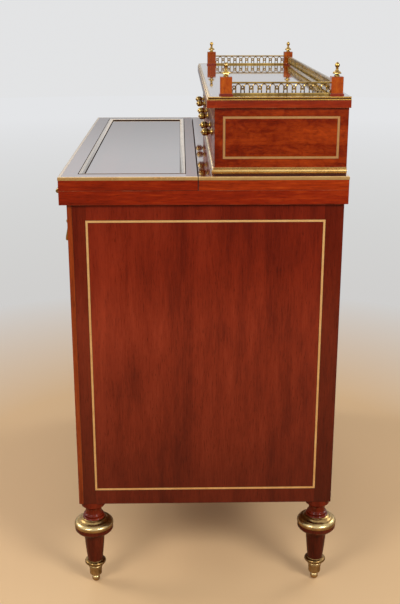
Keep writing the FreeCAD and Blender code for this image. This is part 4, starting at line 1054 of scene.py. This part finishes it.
# %% Plates and eyes of the pulls
TO_FRONT = Matrix.Rotation(math.pi / 2, 4, "X")
TO_END = Matrix.Rotation(math.pi / 2, 4, "Y")
plate_outline = [(12.1, -0.1), (12.4, 0.5), (11.9, 1.4), (10.7, 1.6)]
plate_outline += sweep((10.3, 1.7), (5.4, 3.5), 0.5, 6)
plate_outline += [(4.8, 3.4), (3.6, 3.9), (3.3, 4.4), (3.3, 5.2), (4.1, 5.6), (4.1, 6.2), (3.3, 6.6)]
plate_outline += [(3.0, 7.6), (0.0, 7.6)]
plate = turned([plate_outline], pull_brass, sides=60, lobes=(1.65, 3.6, 10, 0.06))
eye_outline = [(1.6, -4.4), (3.0, -4.4), (3.5, -3.8)] + sweep((4.1, -3.2), (4.1, 3.2), 0.85, 10)
eye_outline += [(3.5, 3.8), (3.0, 4.4), (1.6, 4.4)]
pull_eye = turned([eye_outline], pull_brass, sides=28, ring=True)


def post_parts(x, z):
    """Both posts of a pull, each a plate, its beads and an eye."""
    parts = []
    for post_x in (x - POST_APART, x + POST_APART):
        foot = at(post_x, CHEST_FRONT, z) @ TO_FRONT
        parts += [(plate, foot), (plate_beads, foot @ at(0, 0, BEADS_UP)),
                  (pull_eye, at(post_x, PIVOT, z) @ TO_END)]
    return parts


print("faces of a plate and an eye:", len(plate.polygons), len(pull_eye.polygons))

# %% Posts and keyhole plates
KEYHOLES = {"lower": 369.7, "upper": 585.7}
KEY_PLATE = CHEST_FRONT - 1.4   # face of the keyhole plates, along Y
SQUEEZE = Matrix.Diagonal((0.63, 1.0, 1.0, 1.0))
rim_outline = [(14.6, -0.2)] + bead(14.6, 15.4, 0.0, 0.9, 6)[::-1] + [(16.3, 0.2), (16.3, -0.2)]
oval_rim = turned([rim_outline], pull_brass, sides=64, ring=True)
# The keyhole is a dark solid in its shape, painted shade for the hole.
hole_outline = []
for k in range(13):
    angle = math.radians(25 * k - 60)
    hole_outline.append((2.9 * math.cos(angle), 2.9 * math.sin(angle)))
hole_outline += [(-1.7, -8.4), (1.7, -8.4)]
hole_shape = bmesh.new()
skin(hole_shape, [[hole_shape.verts.new(Vector((x, y, z)) * MM) for x, y in hole_outline]
                  for z in (-0.4, 0.12)])
keyhole = finished(hole_shape, slot_shade)
for place, x in FRIEZE_PULLS.items():
    posts = gathered(post_parts(x, FRIEZE_PULL_HEIGHT))
    piece(f"frieze_{place}_pull_posts", posts, f"frieze_{place}_drawer", "brass")
for height, z in LONG_PULL_HEIGHTS.items():
    key_face = at(0, KEY_PLATE, KEYHOLES[height]) @ TO_FRONT
    parts = [part for x in LONG_PULLS.values() for part in post_parts(x, z)]
    parts += [(oval_rim, key_face @ SQUEEZE), (oval_beads, key_face)]
    piece(f"long_{height}_pull_posts", gathered(parts), f"long_{height}_drawer", "brass")
    piece(f"long_{height}_keyhole", gathered([(keyhole, key_face)]), f"long_{height}_drawer", "brass")

# %% Knobs of the upper drawers
UNIT_FRONT = 17.0
KNOB_HEIGHT = 832.65
KNOB_APART = 47.0         # middle of an upper drawer to each of its knobs
knob_outline = [(6.6, -0.1), (6.8, 0.6), (6.3, 1.8), (4.4, 2.3), (3.8, 3.1), (3.7, 4.9)]
knob_outline += sweep((3.9, 5.1), (6.4, 11.4), 1.0, 8) + sweep((6.4, 11.7), (1.7, 18.5), 2.1, 10)
knob_outline += [(1.5, 18.7), (1.8, 19.1), (1.2, 19.7), (0.0, 19.9)]
knob = turned([knob_outline], gallery_brass, sides=36)
for place, middle in (("left", -232.33), ("middle", 0.0), ("right", 232.33)):
    knobs = [(knob, at(x, UNIT_FRONT, KNOB_HEIGHT) @ TO_FRONT)
             for x in (middle - KNOB_APART, middle + KNOB_APART)]
    piece(f"gradin_{place}_knobs", gathered(knobs), f"gradin_{place}_drawer", "brass")

# %% [markdown]
# ## Screws
#
# Slotted screws hold the back boards, the hinge leaves and the locks. A tree sets a low cone at every point,
# turned by a random angle with a fixed seed, and on a second run a thin dark bar of painted shade as its
# slot.
# Boolean cuts would give real slots, but at this size nobody could tell, and the meshes would be heavy.

# %% Screw heads
screw_tree, start, close_tree = new_tree("screw_heads", {
    "Float": ["Radius", "Height"], "Bool": ["Slot"], "Int": ["Seed"]})
top_radius = maths("MULTIPLY", start["Radius"], 0.72)
head = result("GeometryNodeMeshCone", {
    "Vertices": 14, "Radius Top": top_radius, "Radius Bottom": start["Radius"], "Depth": start["Height"]})
bar_size = [maths("MULTIPLY", start[size], share)
            for size, share in (("Radius", 1.4), ("Radius", 0.24), ("Height", 0.2))]
bar = result("GeometryNodeMeshCube", {"Size": vector(*bar_size)})
slot_bar = result("GeometryNodeTransform", {0: bar, "Translation": vector(z=start["Height"])})
shown = result("GeometryNodeSwitch", {0: start["Slot"], 1: head, 2: slot_bar}, input_type="GEOMETRY")
twist = put("FunctionNodeRandomValue", {2: 0.0, 3: math.pi, "Seed": start["Seed"]}, data_type="FLOAT")
close_tree(result("GeometryNodeInstanceOnPoints", {
    0: start["Points"], "Instance": shown, "Rotation": vector(z=twist.outputs[1])}))


def drive_screws(name, body, *groups):
    """Two pieces for one body: the heads of its groups of screws, and their slots as dark painted shade.

    A group is (points, radius, height, place, seed), with points in a plane, which the place then moves.
    """
    for ending, slot, finish in (("", False, screw_brass), ("_slots", True, slot_shade)):
        parts = []
        for points, radius, height, place, seed in groups:
            heads = grow(screw_tree, points, radius=radius, height=height, slot=slot, seed=seed,
                         finish=finish)
            parts.append((heads, place))
        piece(name + ending, gathered(parts), body, "brass")


print("screw tree nodes:", len(screw_tree.nodes))

# %% Screws in their places
TO_BACK = Matrix.Rotation(-math.pi / 2, 4, "X")
TURNED_DOWN = Matrix.Rotation(math.pi, 4, "X")
LOCK_BACK = -209.5
LOCK_TOPS = {"lower": 399.7, "upper": 615.7}
back_spots = [(122.0 * k, -z, 0) for k in range(-3, 4) for z in (183.0, 722.0)]
back_spots += [(x, -z, 0) for x in (-370.0, 370.0) for z in (310.0, 440.0, 570.0)]
unit_spots = [(124.0 * k, -z, 0) for k in range(-3, 4) for z in (782.0, 881.0)]
hinge_spots = [(side * (381.0 + step), -221.0, 0) for side in (-1, 1) for step in (-15.5, 0.0, 15.5)]
under_spots = [(x, -y, 0) for x, y, flat in hinge_spots]
drive_screws("chest_screws", "chest", (back_spots, 3.4, 0.8, at(0, 233.0, 0) @ TO_BACK, 1),
             (unit_spots, 2.8, 0.7, at(0, 234.0, 0) @ TO_BACK, 2),
             (hinge_spots, 2.7, 0.12, at(0, 0, 754.0), 3))
drive_screws("flap_screws", "flap", (under_spots, 2.7, 0.12, at(0, 0, 754.4) @ TURNED_DOWN, 4))
for height, top in LOCK_TOPS.items():
    lock_spots = [(x, -z, 0) for x in (-20.0, 20.0) for z in (top - 6.0, top - 47.0)]
    drive_screws(f"long_{height}_lock_screws", f"long_{height}_drawer",
                 (lock_spots, 2.6, 0.5, at(0, LOCK_BACK, 0) @ TO_BACK, 5))

# %% [markdown]
# ## Floor and light
#
# The photo was taken in a pale room: a beige floor, a pale grey wall, and soft light from left and right
# of the camera. One large floor whose colour runs from beige to pale grey stands for both floor and wall,
# so that the chest can be seen from any side. The world is the pale grey that the polish mirrors.
# Two softboxes stand beside the camera, and three more light the sides that the photo doesn't show.

# %% Floor
FLOOR_RADIUS = 9.0
FLOOR_LEVEL = -0.0002     # a hair under the feet
GREY_FROM = 0.62          # distance from the middle at which the floor starts to turn grey
GREY_FULL = 1.5           # distance at which it is all grey
floor_finish, shader, coordinates = new_finish("pale_floor")
tree = floor_finish.node_tree
distance = put("ShaderNodeVectorMath", {0: coordinates["Object"]}, operation="LENGTH").outputs["Value"]
path = tree.nodes.new("ShaderNodeLightPath").outputs
bounced = maths("MAXIMUM", path["Is Glossy Ray"], path["Is Diffuse Ray"])
beige = mix_colour(bounced, screen_colour(222, 187, 143), screen_colour(158, 120, 80))
feed(shader, {"Base Color": beige, "Roughness": 0.6, "Specular IOR Level": 0.25})
far_grey = ramp(span(distance, 1.0, 7.0), [
    (0.0, screen_colour(206, 204, 202)), (0.3, screen_colour(212, 212, 211)),
    (1.0, screen_colour(228, 229, 231))])
far_glow = result("ShaderNodeEmission", {"Color": far_grey})
away = maths("MULTIPLY", span(distance, GREY_FROM, GREY_FULL), path["Is Camera Ray"])
blend = result("ShaderNodeMixShader", {0: away, 1: shader.outputs[0], 2: far_glow})
feed(tree.nodes["Material Output"], {"Surface": blend})
floor_shape = bmesh.new()
bmesh.ops.create_circle(floor_shape, cap_ends=True, segments=96, radius=FLOOR_RADIUS)
floor = bpy.data.objects.new("studio_floor", as_mesh(floor_shape, floor_finish))
floor.location.z = FLOOR_LEVEL
scene.collection.objects.link(floor)
print("floor radius", FLOOR_RADIUS, "m")

# %% World
FILL = 0.36               # strength of the world as light
SEEN = 0.78               # strength of the world as the camera sees it
MIRRORED = {              # the grey that polish mirrors, by how far up it looks
    0.0: 0.3, 0.05: 0.62, 0.095: 0.72, 0.118: 0.46, 0.155: 0.72, 0.2: 0.88}
world = bpy.data.worlds.new("pale_studio")
scene.world = world
world.use_nodes = True
tree = world.node_tree
path = tree.nodes.new("ShaderNodeLightPath").outputs
upward = coordinate(tree.nodes.new("ShaderNodeTexCoord").outputs["Generated"], 2)
mirrored = ramp(upward, [(place, (grey, grey, grey, 1.0)) for place, grey in MIRRORED.items()])
strength = maths("MULTIPLY_ADD", path["Is Camera Ray"], SEEN - FILL, FILL)
shine = maths("MULTIPLY", path["Is Glossy Ray"], maths("SUBTRACT", mirrored, FILL))
clear = maths("MULTIPLY", path["Is Transmission Ray"], SEEN - FILL)
strength = maths("ADD", strength, maths("ADD", shine, clear))
feed(tree.nodes["Background"], {"Color": (0.985, 0.99, 1.0, 1.0), "Strength": strength})
print("world nodes:", len(tree.nodes))

# %% Lamps
LAMP_COLOUR = (1.0, 0.97, 0.93)
softboxes = {             # place, aim, width, height and watts
    "left_softbox": ((1.8, -1.1, 1.5), (0.2, 0.0, 0.65), 0.7, 0.6, 18.0),
    "right_softbox": ((1.8, 1.15, 1.5), (0.2, 0.0, 0.65), 0.7, 0.6, 27.0),
    "front_softbox": ((-0.6, -3.0, 2.4), (0.0, 0.0, 0.5), 1.4, 1.0, 40.0),
    "back_softbox": ((-1.6, 2.6, 2.4), (0.0, 0.0, 0.5), 1.4, 1.0, 24.0),
    "far_softbox": ((-2.6, -0.6, 2.7), (-0.4, 0.0, 0.4), 1.2, 1.0, 9.0),
}
for name, (place, aim, width, height, watts) in softboxes.items():
    lamp = bpy.data.lights.new(name, "AREA")
    lamp.shape = "RECTANGLE"
    lamp.size = width
    lamp.size_y = height
    lamp.energy = watts
    lamp.color = LAMP_COLOUR
    stand = bpy.data.objects.new(name, lamp)
    stand.location = place
    stand.rotation_euler = (Vector(aim) - Vector(place)).to_track_quat("-Z", "Y").to_euler()
    scene.collection.objects.link(stand)
print("lamps:", len(softboxes))
